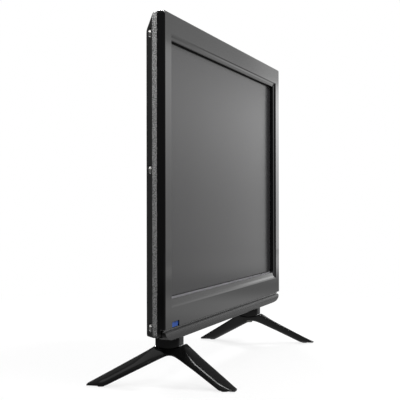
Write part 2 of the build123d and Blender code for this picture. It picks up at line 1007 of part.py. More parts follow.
# Rails between the panel's sides and the bezel
with BuildPart() as rail_left:
    rail_x = -panel_w / 2
    block(rail_x - rail_thick, rail_x, rail_low, rail_high, rail_front, rail_back)
    block(
        rail_x - rail_w,
        rail_x - rail_thick,
        rail_low,
        rail_high,
        rail_flange_depth,
        rail_flange_depth + rail_thick,
    )
    rod(rail_posts[:2], 0, rail_back, small_screw_r + thread_gap, Mode.SUBTRACT)
    rod(well_places, 0, rail_back, boss_r + 2 * seat_gap, Mode.SUBTRACT)
save(rail_left, "panel_rail_left")
save_mirrored(rail_left, "panel_rail_right")

# Screws of the rails, the boards, the keys' board and the cover
shank = small_screw_r - thread_gap
with BuildPart() as rail_screws:
    screws(
        rail_posts,
        rail_flange_depth + rail_thick,
        small_head_r,
        small_head_h,
        shank,
        screw_bite,
    )
save(rail_screws, "rail_screws")

with BuildPart() as board_screws:
    screws(main_screws + power_screws, board_back, small_head_r, small_head_h, shank, screw_bite)
    screws(driver_screws, driver_back, small_head_r, small_head_h, shank, driver_thick + seat_gap)
    screws(key_post_places, key_board_depth, small_head_r, small_head_h, shank, screw_bite, 1)
save(board_screws, "board_screws")

with BuildPart() as cover_screws:
    screws(well_places, well_floor_depth, screw_head_r, screw_head_h, screw_r - thread_gap, screw_len)
    with BuildSketch(face_plane(well_floor_depth + screw_head_h)) as slots:
        for x, z in well_places:
            with Locations((x, z)):
                Rectangle(2 * screw_r, screw_r / 2)
                Rectangle(screw_r / 2, 2 * screw_r)
    extrude(slots.sketch, amount=screw_head_h / 2, mode=Mode.SUBTRACT)
save(cover_screws, "cover_screws")

# Wall mount inserts
with BuildPart() as wall_inserts:
    rod(vesa_places, hump_depth - insert_len, hump_depth, insert_r)
    rod(vesa_places, hump_depth - insert_len, hump_depth + overrun, insert_bore_r, Mode.SUBTRACT)
save(wall_inserts, "wall_mount_inserts")


# Driver board along the panel's top, with its chips
with BuildPart() as driver_board:
    block(*driver_edges, driver_front, driver_back)
    for side in (-1, 0, 1):
        chip_x = side * driver_w / 3
        block(
            chip_x - chip_w / 2,
            chip_x + chip_w / 2,
            driver_z - driver_h / 4,
            driver_z + driver_h / 4,
            driver_back,
            driver_back + driver_thick,
        )
    rod(driver_screws, driver_front - overrun, driver_back + overrun, small_screw_r, Mode.SUBTRACT)
save(driver_board, "driver_board")

# Main board with its processor, and the heat sink on it
sink_z = main_edges[3] - sink_w / 2 - 3 * board_screw_inset
sink_x = main_x + sink_w / 2
with BuildPart() as main_board:
    block(*main_edges, board_front, board_back)
    block(
        sink_x - chip_w / 2,
        sink_x + chip_w / 2,
        sink_z - chip_w / 2,
        sink_z + chip_w / 2,
        board_back,
        board_back + chip_h,
    )
    for side in (-1, 1):
        memory_x = sink_x + side * (sink_w / 2 + chip_w / 2)
        block(
            memory_x - chip_w / 4,
            memory_x + chip_w / 4,
            sink_z - chip_w / 4,
            sink_z + chip_w / 4,
            board_back,
            board_back + chip_h / 2,
        )
    for edges in main_plugs:
        block(*edges, board_back, board_back + plug_h)
    rod(main_screws, board_front - overrun, board_back + overrun, small_screw_r, Mode.SUBTRACT)
save(main_board, "main_board")

with BuildPart() as processor_sink:
    sink_front = board_back + chip_h
    block(
        sink_x - sink_w / 2,
        sink_x + sink_w / 2,
        sink_z - sink_w / 2,
        sink_z + sink_w / 2,
        sink_front,
        sink_front + sink_base,
    )
    fin_step = (sink_w - sink_fin_w) / (sink_fins - 1)
    for number in range(sink_fins):
        fin_x = sink_x - sink_w / 2 + number * fin_step
        block(
            fin_x,
            fin_x + sink_fin_w,
            sink_z - sink_w / 2,
            sink_z + sink_w / 2,
            sink_front + sink_base,
            sink_front + sink_base + sink_fin_h,
        )
save(processor_sink, "processor_heatsink")

# Tuner can, with the aerial socket's thread standing out of it through the housing
with BuildPart() as tuner_module:
    block(
        aerial_x - tuner_h,
        aerial_x + tuner_h,
        socket_z - tuner_h / 2,
        socket_z - tuner_h / 2 + tuner_w / 2,
        board_back,
        board_back + tuner_deep,
    )
save(tuner_module, "tuner_module")

with BuildPart() as aerial_socket:
    aerial_end = hump_depth + aerial_reach
    rod([(aerial_x, socket_z)], board_back + tuner_deep, hump_depth, aerial_neck_r)
    rod([(aerial_x, socket_z)], hump_depth, aerial_end, aerial_r)
    rod(
        [(aerial_x, socket_z)],
        hump_depth - aerial_reach / 2,
        aerial_end + overrun,
        aerial_bore_r,
        Mode.SUBTRACT,
    )
    rod([(aerial_x, socket_z)], hump_depth - aerial_reach / 2, aerial_end, aerial_pin_r)
save(aerial_socket, "aerial_socket")

# Sockets on the main board's lower edge
socket_back = hump_depth + socket_lip
with BuildPart() as hdmi_socket:
    block(
        hdmi_x - hdmi_w / 2,
        hdmi_x + hdmi_w / 2,
        socket_z - hdmi_h / 2,
        socket_z + hdmi_h / 2,
        board_back,
        socket_back,
    )
    with BuildSketch(face_plane(socket_back + overrun)) as mouth:
        with Locations((hdmi_x, socket_z)):
            Rectangle(hdmi_w - 2 * hdmi_wall, hdmi_h - 2 * hdmi_wall)
        chamfer(mouth.vertices().group_by(Axis.Y)[0], hdmi_h / 4)
    extrude(mouth.sketch, amount=aerial_reach + overrun, mode=Mode.SUBTRACT)
    block(
        hdmi_x - hdmi_tongue_w / 2,
        hdmi_x + hdmi_tongue_w / 2,
        socket_z - hdmi_tongue_h / 2,
        socket_z + hdmi_tongue_h / 2,
        socket_back - aerial_reach,
        hump_depth,
    )
save(hdmi_socket, "hdmi_socket")

with BuildPart() as usb_socket:
    block(
        usb_x - usb_w / 2,
        usb_x + usb_w / 2,
        socket_z - usb_h / 2,
        socket_z + usb_h / 2,
        board_back,
        socket_back,
    )
    block(
        usb_x - usb_w / 2 + usb_wall,
        usb_x + usb_w / 2 - usb_wall,
        socket_z - usb_h / 2 + usb_wall,
        socket_z + usb_h / 2 - usb_wall,
        socket_back - jack_bore_len,
        socket_back + overrun,
        mode=Mode.SUBTRACT,
    )
    block(
        usb_x - usb_w / 2 + 2 * usb_wall,
        usb_x + usb_w / 2 - 2 * usb_wall,
        socket_z,
        socket_z + usb_tongue_h,
        socket_back - jack_bore_len,
        hump_depth,
    )
save(usb_socket, "usb_socket")

with BuildPart() as vga_socket:
    block(
        vga_x - vga_flange_w / 2,
        vga_x + vga_flange_w / 2,
        socket_z - vga_flange_h / 2,
        socket_z + vga_flange_h / 2,
        board_back,
        hump_inner - vga_flange_thick,
    )
    with BuildSketch(face_plane(socket_back)) as shell:
        with Locations((vga_x, socket_z)):
            Trapezoid(vga_w - seat_gap, vga_h - seat_gap, 80)
        fillet(shell.vertices(), vga_h / 4)
    extrude(shell.sketch, amount=socket_back - hump_inner + 2 * vga_flange_thick)
    with BuildSketch(face_plane(socket_back)) as bore:
        with Locations((vga_x, socket_z)):
            Trapezoid(vga_w - 2 * usb_wall, vga_h - 2 * usb_wall, 80)
        fillet(bore.vertices(), vga_h / 5)
    extrude(bore.sketch, amount=vga_h / 2, mode=Mode.SUBTRACT)
save(vga_socket, "vga_socket")

with BuildPart() as jacks:
    for x in jack_x:
        block(
            x - jack_w / 2,
            x + jack_w / 2,
            socket_z - jack_w / 2,
            socket_z + jack_w / 2,
            board_back,
            hump_inner - seat_gap,
        )
        rod([(x, socket_z)], hump_inner - seat_gap, socket_back, jack_nose_r)
        rod([(x, socket_z)], socket_back - jack_bore_len, socket_back + overrun, jack_bore_r, Mode.SUBTRACT)
save(jacks, "audio_jacks")

# Power board with its transformer, capacitors and heat sink
with BuildPart() as power_board:
    block(*power_edges, board_front, board_back)
    block(*power_plug, board_back, board_back + plug_h)
    rod(power_screws, board_front - overrun, board_back + overrun, small_screw_r, Mode.SUBTRACT)
save(power_board, "power_board")

with BuildPart() as transformer:
    core_x = power_x + power_w / 6
    core_z = power_z
    block(
        core_x - transformer_w / 2,
        core_x + transformer_w / 2,
        core_z - transformer_h / 2 + core_lap,
        core_z + transformer_h / 2 - core_lap,
        board_back,
        board_back + transformer_deep,
    )
    block(
        core_x - transformer_w / 2 + core_lap,
        core_x + transformer_w / 2 - core_lap,
        core_z - transformer_h / 2,
        core_z + transformer_h / 2,
        board_back,
        board_back + transformer_deep - core_lap / 2,
    )
save(transformer, "transformer")

with BuildPart() as capacitors:
    for number in range(3):
        can_x = power_x - power_w / 4 + number * capacitor_pitch
        with BuildSketch(level_plane(power_edges[3] - capacitor_len - 2 * board_screw_inset)) as can:
            with Locations((can_x, board_back + capacitor_r)):
                Circle(capacitor_r)
        extrude(can.sketch, amount=capacitor_len)
save(capacitors, "capacitors")

with BuildPart() as power_sink:
    plate_x = power_x - power_w / 6
    plate_z = power_z - power_h / 10
    block(
        plate_x - power_sink_w / 2,
        plate_x + power_sink_w / 2,
        plate_z - power_sink_h / 2,
        plate_z + power_sink_h / 2,
        board_back,
        board_back + power_sink_deep,
    )
    for number in range(4):
        fin_z = plate_z - power_sink_h / 2 + number * (power_sink_h - sink_fin_w) / 3
        block(
            plate_x - power_sink_w,
            plate_x + power_sink_w,
            fin_z,
            fin_z + sink_fin_w,
            board_back + sink_base,
            board_back + power_sink_deep,
        )
save(power_sink, "power_heatsink")

# Mains inlet with its two pins
with BuildPart() as mains_inlet:
    block(
        inlet_x - inlet_w / 2,
        inlet_x + inlet_w / 2,
        socket_z - inlet_h / 2,
        socket_z + inlet_h / 2,
        board_back,
        socket_back,
    )
    with BuildSketch(face_plane(socket_back + overrun)) as figure:
        with Locations((inlet_x - inlet_pin_pitch / 2, socket_z), (inlet_x + inlet_pin_pitch / 2, socket_z)):
            Circle(inlet_hole_h / 2)
        with Locations((inlet_x, socket_z)):
            Rectangle(inlet_pin_pitch, inlet_hole_h - inlet_pin_r)
    extrude(figure.sketch, amount=inlet_deep + overrun, mode=Mode.SUBTRACT)
    rod(
        [(inlet_x + side * inlet_pin_pitch / 2, socket_z) for side in (-1, 1)],
        socket_back - inlet_deep,
        hump_depth - inlet_pin_r,
        inlet_pin_r,
    )
save(mains_inlet, "mains_inlet")

# Keys' board with a small switch behind every key
switch_back = key_board_back + switch_h
with BuildPart() as key_board:
    block(
        key_x - key_board_w / 2,
        key_x + key_board_w / 2,
        key_board_low,
        key_board_high,
        key_board_depth,
        key_board_back,
    )
    for x, z in key_places:
        block(
            x - switch_w / 2,
            x + switch_w / 2,
            z - switch_w / 2,
            z + switch_w / 2,
            key_board_back,
            switch_back,
        )
    rod(key_places, switch_back, switch_back + plunger_h, plunger_r)
    rod(key_post_places, key_board_depth - overrun, key_board_back + overrun, small_screw_r, Mode.SUBTRACT)
save(key_board, "key_board")

# The seven keys
key_front = switch_back + plunger_h + key_travel + seat_gap
for number, place in enumerate(key_places):
    with BuildPart() as key:
        rod([place], hump_inner - seat_gap - key_flange_h, hump_inner - seat_gap, key_flange_r)
        rod([place], key_front, hump_inner - seat_gap, plunger_r)
        rod([place], hump_inner - seat_gap - key_flange_h, hump_depth + key_proud, key_r)
        fillet(key.faces().sort_by(Axis.Y)[-1].edges(), key_proud / 2)
    save(key, "key_" + str(number + 1))

# Loudspeaker boxes with their drivers
speaker_mid = (speaker_front + speaker_back) / 2
speaker_high = speaker_low + speaker_h
driver_len = speaker_w / 2
mouth_back = speaker_low + 2 * driver_rim
with BuildPart() as speaker_box:
    slab(
        -speaker_x - speaker_w / 2,
        -speaker_x + speaker_w / 2,
        speaker_front,
        speaker_back,
        speaker_low,
        speaker_high,
        corner=driver_rim,
    )
    slab(
        -speaker_x - speaker_w / 2 + 2 * driver_rim,
        -speaker_x + speaker_w / 2 - 2 * driver_rim,
        speaker_front + 2 * driver_rim,
        speaker_back - 2 * driver_rim,
        mouth_back,
        speaker_high - 2 * driver_rim,
        mode=Mode.SUBTRACT,
    )
    with BuildSketch(level_plane(speaker_low - overrun)) as mouth:
        with Locations((-speaker_x, speaker_mid)):
            SlotOverall(driver_len, 2 * driver_r)
    extrude(mouth.sketch, amount=mouth_back - speaker_low + 2 * overrun, mode=Mode.SUBTRACT)
save(speaker_box, "speaker_box_left")
save_mirrored(speaker_box, "speaker_box_right")

with BuildPart() as speaker_driver:
    with BuildSketch(level_plane(speaker_low)) as basket:
        with Locations((-speaker_x, speaker_mid)):
            SlotOverall(driver_len - 2 * fit_gap, 2 * driver_r - 2 * fit_gap)
            SlotOverall(driver_len - 4 * driver_rim, 2 * driver_r - 4 * driver_rim, mode=Mode.SUBTRACT)
    extrude(basket.sketch, amount=mouth_back - speaker_low)
    with BuildSketch(level_plane(mouth_back - cone_thick)) as cone:
        with Locations((-speaker_x, speaker_mid)):
            SlotOverall(driver_len - 2 * driver_rim, 2 * driver_r - 2 * driver_rim)
    extrude(cone.sketch, amount=cone_thick)
    upright([(-speaker_x, speaker_mid)], mouth_back - cone_thick, mouth_back + magnet_h, magnet_r)
    upright([(-speaker_x, speaker_mid)], mouth_back - driver_rim, mouth_back, dust_cap_r)
save(speaker_driver, "speaker_driver_left")
save_mirrored(speaker_driver, "speaker_driver_right")

# Receiver board behind the window
with BuildPart() as ir_board:
    ir_board_back = ir_board_depth + ir_board_thick
    block(
        ir_mid - ir_board_w / 2,
        ir_mid + ir_board_w / 2,
        ir_board_low,
        ir_board_low + ir_board_h,
        ir_board_depth,
        ir_board_back,
    )
    rod([(ir_mid - ir_dome_r, ir_dome_z)], ir_board_depth - ir_dome_len, ir_board_depth, ir_dome_r)
    rod([(ir_mid + 2 * ir_dome_r, ir_dome_z)], ir_board_depth - ir_dome_len, ir_board_depth, ir_lamp_r)
save(ir_board, "ir_board")

# Saddle of the foot, a level cylinder that the neck's lower end also follows
saddle_centre = spot(neck_x - face_w / 2, floor_z + saddle_h + saddle_r, neck_mid_depth)
saddle_plane = Plane(origin=saddle_centre, z_dir=(1, 0, 0))

# Neck, shown as the left one: it seats in the foot and its tongue climbs behind the panel
neck_low = saddle_h + floor_z
tenon_low = neck_low - tenon_drop
block_top = panel_low - stand_gap
with BuildPart() as neck:
    slab(
        neck_x - neck_w / 2,
        neck_x + neck_w / 2,
        neck_front,
        neck_back,
        tenon_low,
        block_top,
        corner=neck_round,
    )
    with BuildSketch(saddle_plane) as seat:
        Circle(saddle_r - seat_gap)
    extrude(seat.sketch, amount=face_w, mode=Mode.INTERSECT)
    with BuildSketch(level_plane(tenon_low)) as tenon:
        with Locations((neck_x, neck_mid_depth)):
            RectangleRounded(tenon_w, tenon_len, neck_round)
    extrude(tenon.sketch, amount=block_top - tenon_low)
    slab(
        neck_x - tongue_w / 2,
        neck_x + tongue_w / 2,
        tongue_front,
        neck_back - neck_round,
        block_top - overrun,
        tongue_top,
    )
    rod(
        [(neck_x, z) for z in stand_screw_z],
        0,
        neck_back + overrun,
        stand_screw_r + thread_gap,
        Mode.SUBTRACT,
    )
    upright(
        [(neck_x, neck_mid_depth)],
        tenon_low - overrun,
        leg_screw_seat_h + leg_screw_len + floor_z,
        leg_screw_r,
        Mode.SUBTRACT,
    )
save(neck, "stand_neck_left")
save_mirrored(neck, "stand_neck_right")

# Steel bracket behind the panel that the neck's tongue is screwed to
bracket_low = block_top + stand_gap
with BuildPart() as bracket:
    block(
        neck_x - bracket_w / 2,
        neck_x + bracket_w / 2,
        bracket_low,
        bracket_top,
        bracket_face,
        bracket_back,
    )
    for side in (-1, 1):
        block(
            neck_x + side * (bracket_w / 2 - bracket_thick / 2) - bracket_thick / 2,
            neck_x + side * (bracket_w / 2 - bracket_thick / 2) + bracket_thick / 2,
            bracket_low,
            bracket_top,
            chassis_back,
            bracket_face,
        )
    rod([(neck_x, z) for z in stand_screw_z], 0, neck_back, stand_screw_r, Mode.SUBTRACT)
save(bracket, "stand_bracket_left")
save_mirrored(bracket, "stand_bracket_right")

# Screws of the stand, from the rear into the brackets and from below into the necks
with BuildPart() as stand_screws:
    tongue_back = neck_back - neck_round
    screws(
        access_places,
        tongue_back,
        stand_screw_head_r,
        stand_screw_head_h,
        stand_screw_r - thread_gap,
        tongue_back - bracket_face,
    )
    neck_places = [(side * neck_x, neck_mid_depth) for side in (-1, 1)]
    screw_seat = leg_screw_seat_h + floor_z
    upright(neck_places, screw_seat - leg_screw_head_h, screw_seat, leg_screw_head_r)
    upright(neck_places, screw_seat, screw_seat + leg_screw_len - seat_gap, leg_screw_r - thread_gap)
save(stand_screws, "stand_screws")


# Foot, shown as the left one: its side outline, held between the leaning blade's two faces
blade_across = Vector(-toe_turn_share, 1, 0)
blade_plane = Plane(
    origin=spot(-half_face + toe_inset, floor_z, 0),
    x_dir=blade_across,
    z_dir=Vector(lean_share, 0, 1),
)
side_plane = Plane(origin=spot(0, floor_z, 0), x_dir=(0, 1, 0), z_dir=(1, 0, 0))
sole_plane = level_plane(floor_z + sole_lift)
with BuildPart() as foot:
    with BuildSketch(side_plane) as blade_side:
        with BuildLine():
            Polyline(
                (-toe_front, 0),
                (-toe_front, nose_h),
                (lip_depth, lip_h),
                (rear_lip_depth, rear_lip_h),
                (toe_back, nose_h),
                (toe_back, 0),
                (toe_back_low, 0),
                (arch_depth, arch_h),
                (toe_front_low, 0),
                (-toe_front, 0),
            )
        make_face()
        fillet(blade_side.vertices().sort_by_distance((arch_depth, arch_h))[0], arch_round)
    extrude(blade_side.sketch, amount=face_w, both=True)
    with BuildSketch(blade_plane) as girth:
        with BuildLine():
            near = ThreePointArc(
                (-toe_front - overrun, -blade_toe / 2),
                (neck_mid_depth, -blade_hub / 2),
                (toe_back + overrun, -blade_toe / 2),
            )
            far = ThreePointArc(
                (toe_back + overrun, blade_toe / 2),
                (neck_mid_depth, blade_hub / 2),
                (-toe_front - overrun, blade_toe / 2),
            )
            Line(near @ 1, far @ 0)
            Line(far @ 1, near @ 0)
        make_face()
    extrude(girth.sketch, amount=2 * stand_height, both=True, mode=Mode.INTERSECT)
    long_edges = foot.edges().filter_by(lambda edge: edge.length > arch_h)
    crest = long_edges.sort_by(Axis.Z)[-4:]
    fillet(crest, blade_round)
    with BuildSketch(sole_plane) as sole:
        with Locations((-half_face + toe_inset, 0)):
            Rectangle(face_w, 2 * (toe_front + toe_back))
    extrude(sole.sketch, amount=-stand_height, mode=Mode.SUBTRACT)
    with BuildSketch(saddle_plane) as saddle:
        Circle(saddle_r)
    extrude(saddle.sketch, amount=face_w, both=True, mode=Mode.SUBTRACT)
    # Tenon pocket, screw hole and head recess of the neck
    slab(
        neck_x - tenon_w / 2 - fit_gap,
        neck_x + tenon_w / 2 + fit_gap,
        neck_mid_depth - tenon_len / 2 - fit_gap,
        neck_mid_depth + tenon_len / 2 + fit_gap,
        tenon_low - fit_gap,
        0,
        mode=Mode.SUBTRACT,
        corner=neck_round,
    )
    screw_place = [(neck_x, neck_mid_depth)]
    upright(screw_place, floor_z, neck_low, leg_screw_r + thread_gap, Mode.SUBTRACT)
    upright(
        screw_place,
        floor_z,
        floor_z + leg_screw_seat_h,
        leg_screw_head_r + fit_gap,
        Mode.SUBTRACT,
    )
    # Recesses of the rubber pads
    pad_places = [
        (-half_face + toe_inset - toe_turn_share * depth, depth)
        for depth in (pad_front_depth, pad_back_depth)
    ]
    upright(pad_places, floor_z, floor_z + pad_thick, pad_r + fit_gap, Mode.SUBTRACT)
save(foot, "stand_foot_left")
save_mirrored(foot, "stand_foot_right")

# Rubber pads under the toes
with BuildPart() as pads:
    for side in (-1, 1):
        upright([(-side * x, depth) for x, depth in pad_places], floor_z, floor_z + pad_thick, pad_r)
save(pads, "foot_pads")

# Ribbon from the main board up to the driver board
ribbon_plane = Plane(
    origin=spot(ribbon_x - ribbon_w / 2, 0, 0), x_dir=(0, 1, 0), z_dir=(1, 0, 0)
)
ribbon_in = board_back + ribbon_lift
ribbon_out = driver_back + seat_gap
ribbon_start = main_top - plug_inset
ribbon_stop = driver_edges[2] + ribbon_end
with BuildPart() as ribbon:
    with BuildSketch(ribbon_plane) as strip:
        with BuildLine():
            Polyline(
                (ribbon_in, ribbon_start),
                (ribbon_in, ribbon_start + ribbon_slope),
                (ribbon_out, ribbon_start + 2 * ribbon_slope),
                (ribbon_out, ribbon_stop),
                (ribbon_out + ribbon_thick, ribbon_stop),
                (ribbon_out + ribbon_thick, ribbon_start + 2 * ribbon_slope),
                (ribbon_in + ribbon_thick, ribbon_start + ribbon_slope),
                (ribbon_in + ribbon_thick, ribbon_start),
                (ribbon_in, ribbon_start),
            )
        make_face()
    extrude(strip.sketch, amount=ribbon_w, dir=(1, 0, 0))
save(ribbon, "panel_ribbon")

# Wires between the power board and the main board
lead_depth = board_back + plug_h / 2
with BuildPart() as harness:
    for number in range(4):
        wire_z = harness_z + harness_pitch / 2 + number * harness_pitch
        wire_mid = (harness_plug[1] + power_plug[0]) / 2
        lead(
            (
                (harness_plug[1], wire_z, lead_depth),
                (harness_plug[1] + lead_exit, wire_z, lead_depth),
                (wire_mid, wire_z, lead_depth + harness_bow),
                (power_plug[0] - lead_exit, wire_z, lead_depth),
                (power_plug[0], wire_z, lead_depth),
            ),
            lead_r,
        )
save(harness, "power_harness")

# Wires of the loudspeakers and of the keys
with BuildPart() as speaker_leads:
    for number in range(2):
        aside = number * lead_pitch
        left_z = speaker_plug_z[0] + plug_len / 3 + aside
        left_x = main_left - lead_turn
        box_left = -speaker_x - speaker_w / 4 + aside
        lead(
            (
                (speaker_plugs[0][0], left_z, lead_depth),
                (left_x - aside, left_z, lead_depth),
                (left_x - aside, socket_z - aside, speaker_mid - lead_turn),
                (box_left, speaker_high + lead_turn, speaker_mid),
                (box_left, speaker_high, speaker_mid),
            ),
            lead_r,
        )
        right_z = speaker_plug_z[1] + plug_len / 3 + aside
        right_x = main_right + lead_turn
        box_right = speaker_x - speaker_w / 3 + aside
        lead(
            (
                (speaker_plugs[1][1], right_z, lead_depth),
                (right_x + aside, right_z, lead_depth),
                (box_right, speaker_high + 2 * lead_turn, speaker_mid),
                (box_right, speaker_high, speaker_mid),
            ),
            lead_r,
        )
save(speaker_leads, "speaker_leads")

with BuildPart() as key_leads:
    for number in range(3):
        wire_z = key_plug_z + plug_len / 6 + number * lead_pitch
        over = board_back + key_lead_lift
        end_x = key_x - key_board_w / 2
        end_z = key_board_low + plug_len + number * lead_pitch
        end_depth = key_board_depth + board_thick / 2
        lead(
            (
                (key_plug[1], wire_z, lead_depth),
                (key_plug[1] + lead_exit, wire_z, lead_depth),
                (power_left + lead_turn, wire_z, over),
                (power_edges[1], wire_z, over),
                (end_x - lead_turn, end_z, end_depth),
                (end_x, end_z, end_depth),
            ),
            lead_r,
        )
save(key_leads, "key_leads")
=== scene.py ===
import json
from math import cos, exp, log, pi, radians, sin

import bmesh
import bpy
from mathutils import Matrix, Vector


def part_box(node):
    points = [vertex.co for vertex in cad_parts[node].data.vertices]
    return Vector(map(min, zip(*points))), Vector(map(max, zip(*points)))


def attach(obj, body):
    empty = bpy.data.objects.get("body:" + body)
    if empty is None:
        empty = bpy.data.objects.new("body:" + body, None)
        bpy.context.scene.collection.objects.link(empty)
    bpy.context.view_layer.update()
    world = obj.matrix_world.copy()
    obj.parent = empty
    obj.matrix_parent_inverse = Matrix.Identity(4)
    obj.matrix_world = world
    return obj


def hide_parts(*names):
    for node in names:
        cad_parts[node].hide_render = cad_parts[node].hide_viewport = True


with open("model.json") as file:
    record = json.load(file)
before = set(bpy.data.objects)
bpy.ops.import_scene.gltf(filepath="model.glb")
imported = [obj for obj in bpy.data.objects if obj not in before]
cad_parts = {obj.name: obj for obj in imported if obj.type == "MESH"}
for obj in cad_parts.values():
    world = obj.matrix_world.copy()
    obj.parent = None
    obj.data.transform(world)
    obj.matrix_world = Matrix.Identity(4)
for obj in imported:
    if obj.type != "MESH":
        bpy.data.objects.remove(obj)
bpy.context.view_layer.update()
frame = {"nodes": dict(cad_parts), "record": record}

bl_info = {
    "name": "Flat screen television",
    "version": (1, 0, 0),
    "blender": (4, 5, 0),
    "location": "3D View > Sidebar > Television",
    "description": "Dresses the television's frame with finishes, rounded mouldings and small fittings",
    "category": "Object",
}

MM = 0.001


# Shader sockets as Python values

class Level:
    """A shader socket or a number, which adds a Math node for each sum that it stands in."""

    def __init__(self, tree, value):
        self.tree = tree
        self.value = value

    def _math(self, operation, *others):
        inputs = {"i%d" % number: item for number, item in enumerate((self,) + others)}
        return Finish(self.tree).out("ShaderNodeMath", 0, {"operation": operation}, **inputs)

    def __add__(self, other):
        return self._math("ADD", other)

    __radd__ = __add__

    def __sub__(self, other):
        return self._math("SUBTRACT", other)

    def __rsub__(self, other):
        return Level(self.tree, other)._math("SUBTRACT", self)

    def __mul__(self, other):
        return self._math("MULTIPLY", other)

    __rmul__ = __mul__

    def above(self, low, high):
        """0 below low, 1 above high and smooth between them."""
        return Finish(self.tree).out(
            "ShaderNodeMapRange",
            "Result",
            {"interpolation_type": "SMOOTHSTEP"},
            Value=self,
            From_Min=low,
            From_Max=high,
        )

    def abs(self):
        return self._math("ABSOLUTE")

    def most(self, other):
        return self._math("MAXIMUM", other)

    def power(self, other):
        return self._math("POWER", other)


class Finish:
    """A material under construction, with one method that adds any node."""

    def __init__(self, tree):
        self.tree = tree

    def node(self, kind, settings=(), **inputs):
        """Adds a node, sets it, and sets or links its sockets, named or numbered as i0, i1 and so on."""
        node = self.tree.nodes.new(kind)
        for key, value in dict(settings).items():
            setattr(node, key, value)
        for key, item in inputs.items():
            numbered = key[0] == "i" and key[1:].isdigit()
            socket = node.inputs[int(key[1:]) if numbered else key.replace("_", " ")]
            item = item.value if isinstance(item, Level) else item
            if isinstance(item, bpy.types.NodeSocket):
                self.tree.links.new(item, socket)
            else:
                socket.default_value = item
        return node

    def out(self, kind, socket=0, settings=(), **inputs):
        """Adds a node and gives one of its outputs."""
        return Level(self.tree, self.node(kind, settings, **inputs).outputs[socket])

    def place(self):
        """Object coordinates, in metres."""
        return self.out("ShaderNodeTexCoord", "Object")

    def parts(self, vector):
        """The X, Y and Z of a vector."""
        node = self.node("ShaderNodeSeparateXYZ", Vector=vector)
        return [Level(self.tree, output) for output in node.outputs]

    def noise(self, vector, scale, detail=2.0, rough=0.5):
        """Smooth noise from 0 to 1, with so many features to a metre."""
        return self.out(
            "ShaderNodeTexNoise", "Fac", Vector=vector, Scale=scale, Detail=detail, Roughness=rough
        )

    def shade(self, factor, low, high):
        """A colour between two colours."""
        return self.out("ShaderNodeMix", 2, {"data_type": "RGBA"}, i0=factor, i6=low, i7=high)

    def bump(self, height):
        """The normal of a relief whose height is in metres."""
        return self.out("ShaderNodeBump", "Normal", Height=height, Distance=1.0, Strength=1.0)


def material(name):
    """A new material with an empty tree."""
    made = bpy.data.materials.new(name)
    made.use_nodes = True
    made.node_tree.nodes.clear()
    return made, Finish(made.node_tree)


def surface(finish, **inputs):
    """Shows a Principled shader with these inputs."""
    shader = finish.out("ShaderNodeBsdfPrincipled", **inputs)
    finish.node("ShaderNodeOutputMaterial", Surface=shader)


def grey(level, blue=1.0):
    """An opaque grey, with its blue part times a factor."""
    return (level, level, level * blue, 1.0)


def toned(colour, factor):
    """An opaque colour times a factor."""
    return tuple(part * factor for part in colour[:3]) + (1.0,)


def plastic(name, base, spread, rough, rough_spread, grain, grain_height, wave, coat=0.0):
    """Moulded plastic: its colour and roughness with the spread of each, the size and height of
    its mould's grain and the length of its slow waves, in metres."""
    made, finish = material(name)
    place = finish.place()
    cloud = finish.noise(place, scale=18.0, detail=3.0)
    fine = finish.noise(place, scale=1.0 / grain, detail=3.0, rough=0.6)
    waves = finish.noise(place, scale=1.0 / wave, detail=1.0)
    low = tuple(max(0.0, part - spread) for part in base[:3]) + (1.0,)
    high = tuple(part + spread for part in base[:3]) + (1.0,)
    inputs = {
        "Base_Color": finish.shade((cloud + fine) * 0.5, low, high),
        "Roughness": rough + (cloud - 0.5) * rough_spread + (fine - 0.5) * (rough_spread * 0.6),
        "Normal": finish.bump(fine * grain_height + waves * (grain_height * 0.6)),
    }
    if coat:
        inputs["Coat_Weight"] = coat
        inputs["Coat_Roughness"] = 0.04
    surface(finish, **inputs)
    return made


def metal(name, base, rough, streak):
    """Bare or plated metal. A streak under 1 draws its fine lines out along X."""
    made, finish = material(name)
    place = finish.place()
    drawn = finish.out("ShaderNodeMapping", "Vector", Vector=place, Scale=(streak, 1.0, 1.0))
    lines = finish.noise(drawn, scale=2600.0)
    cloud = finish.noise(place, scale=60.0, detail=3.0)
    surface(
        finish,
        Base_Color=finish.shade(cloud, toned(base, 0.88), base),
        Metallic=1.0,
        Roughness=rough + (lines - 0.5) * 0.16,
        Normal=finish.bump(lines * 0.000006),
    )
    return made


def give(names, made):
    """Puts a material on every slot of these CAD nodes."""
    for name in names:
        node = frame["nodes"][name]
        if not node.material_slots:
            node.data.materials.append(made)
        for slot in node.material_slots:
            slot.material = made


def body_of(name):
    """The body that a CAD node belongs to."""
    for body, nodes in frame["record"]["behaviour"]["bodies"].items():
        if name in nodes:
            return body
    raise RuntimeError("no body holds " + name)


def keep(name, work, made, node):
    """Turns a bmesh into a finished piece that rides with a CAD node."""
    bmesh.ops.recalc_face_normals(work, faces=work.faces)
    mesh = bpy.data.meshes.new(name)
    work.to_mesh(mesh)
    work.free()
    piece = bpy.data.objects.new(name, mesh)
    bpy.context.scene.collection.objects.link(piece)
    mesh.materials.append(made)
    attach(piece, body_of(node))
    return piece


def smoothed(piece, crease):
    """Shades a piece smooth, but for edges sharper than the crease in degrees."""
    piece.data.shade_smooth()
    piece.data.set_sharp_from_angle(angle=radians(crease))


# Sizes and colours that a user would change

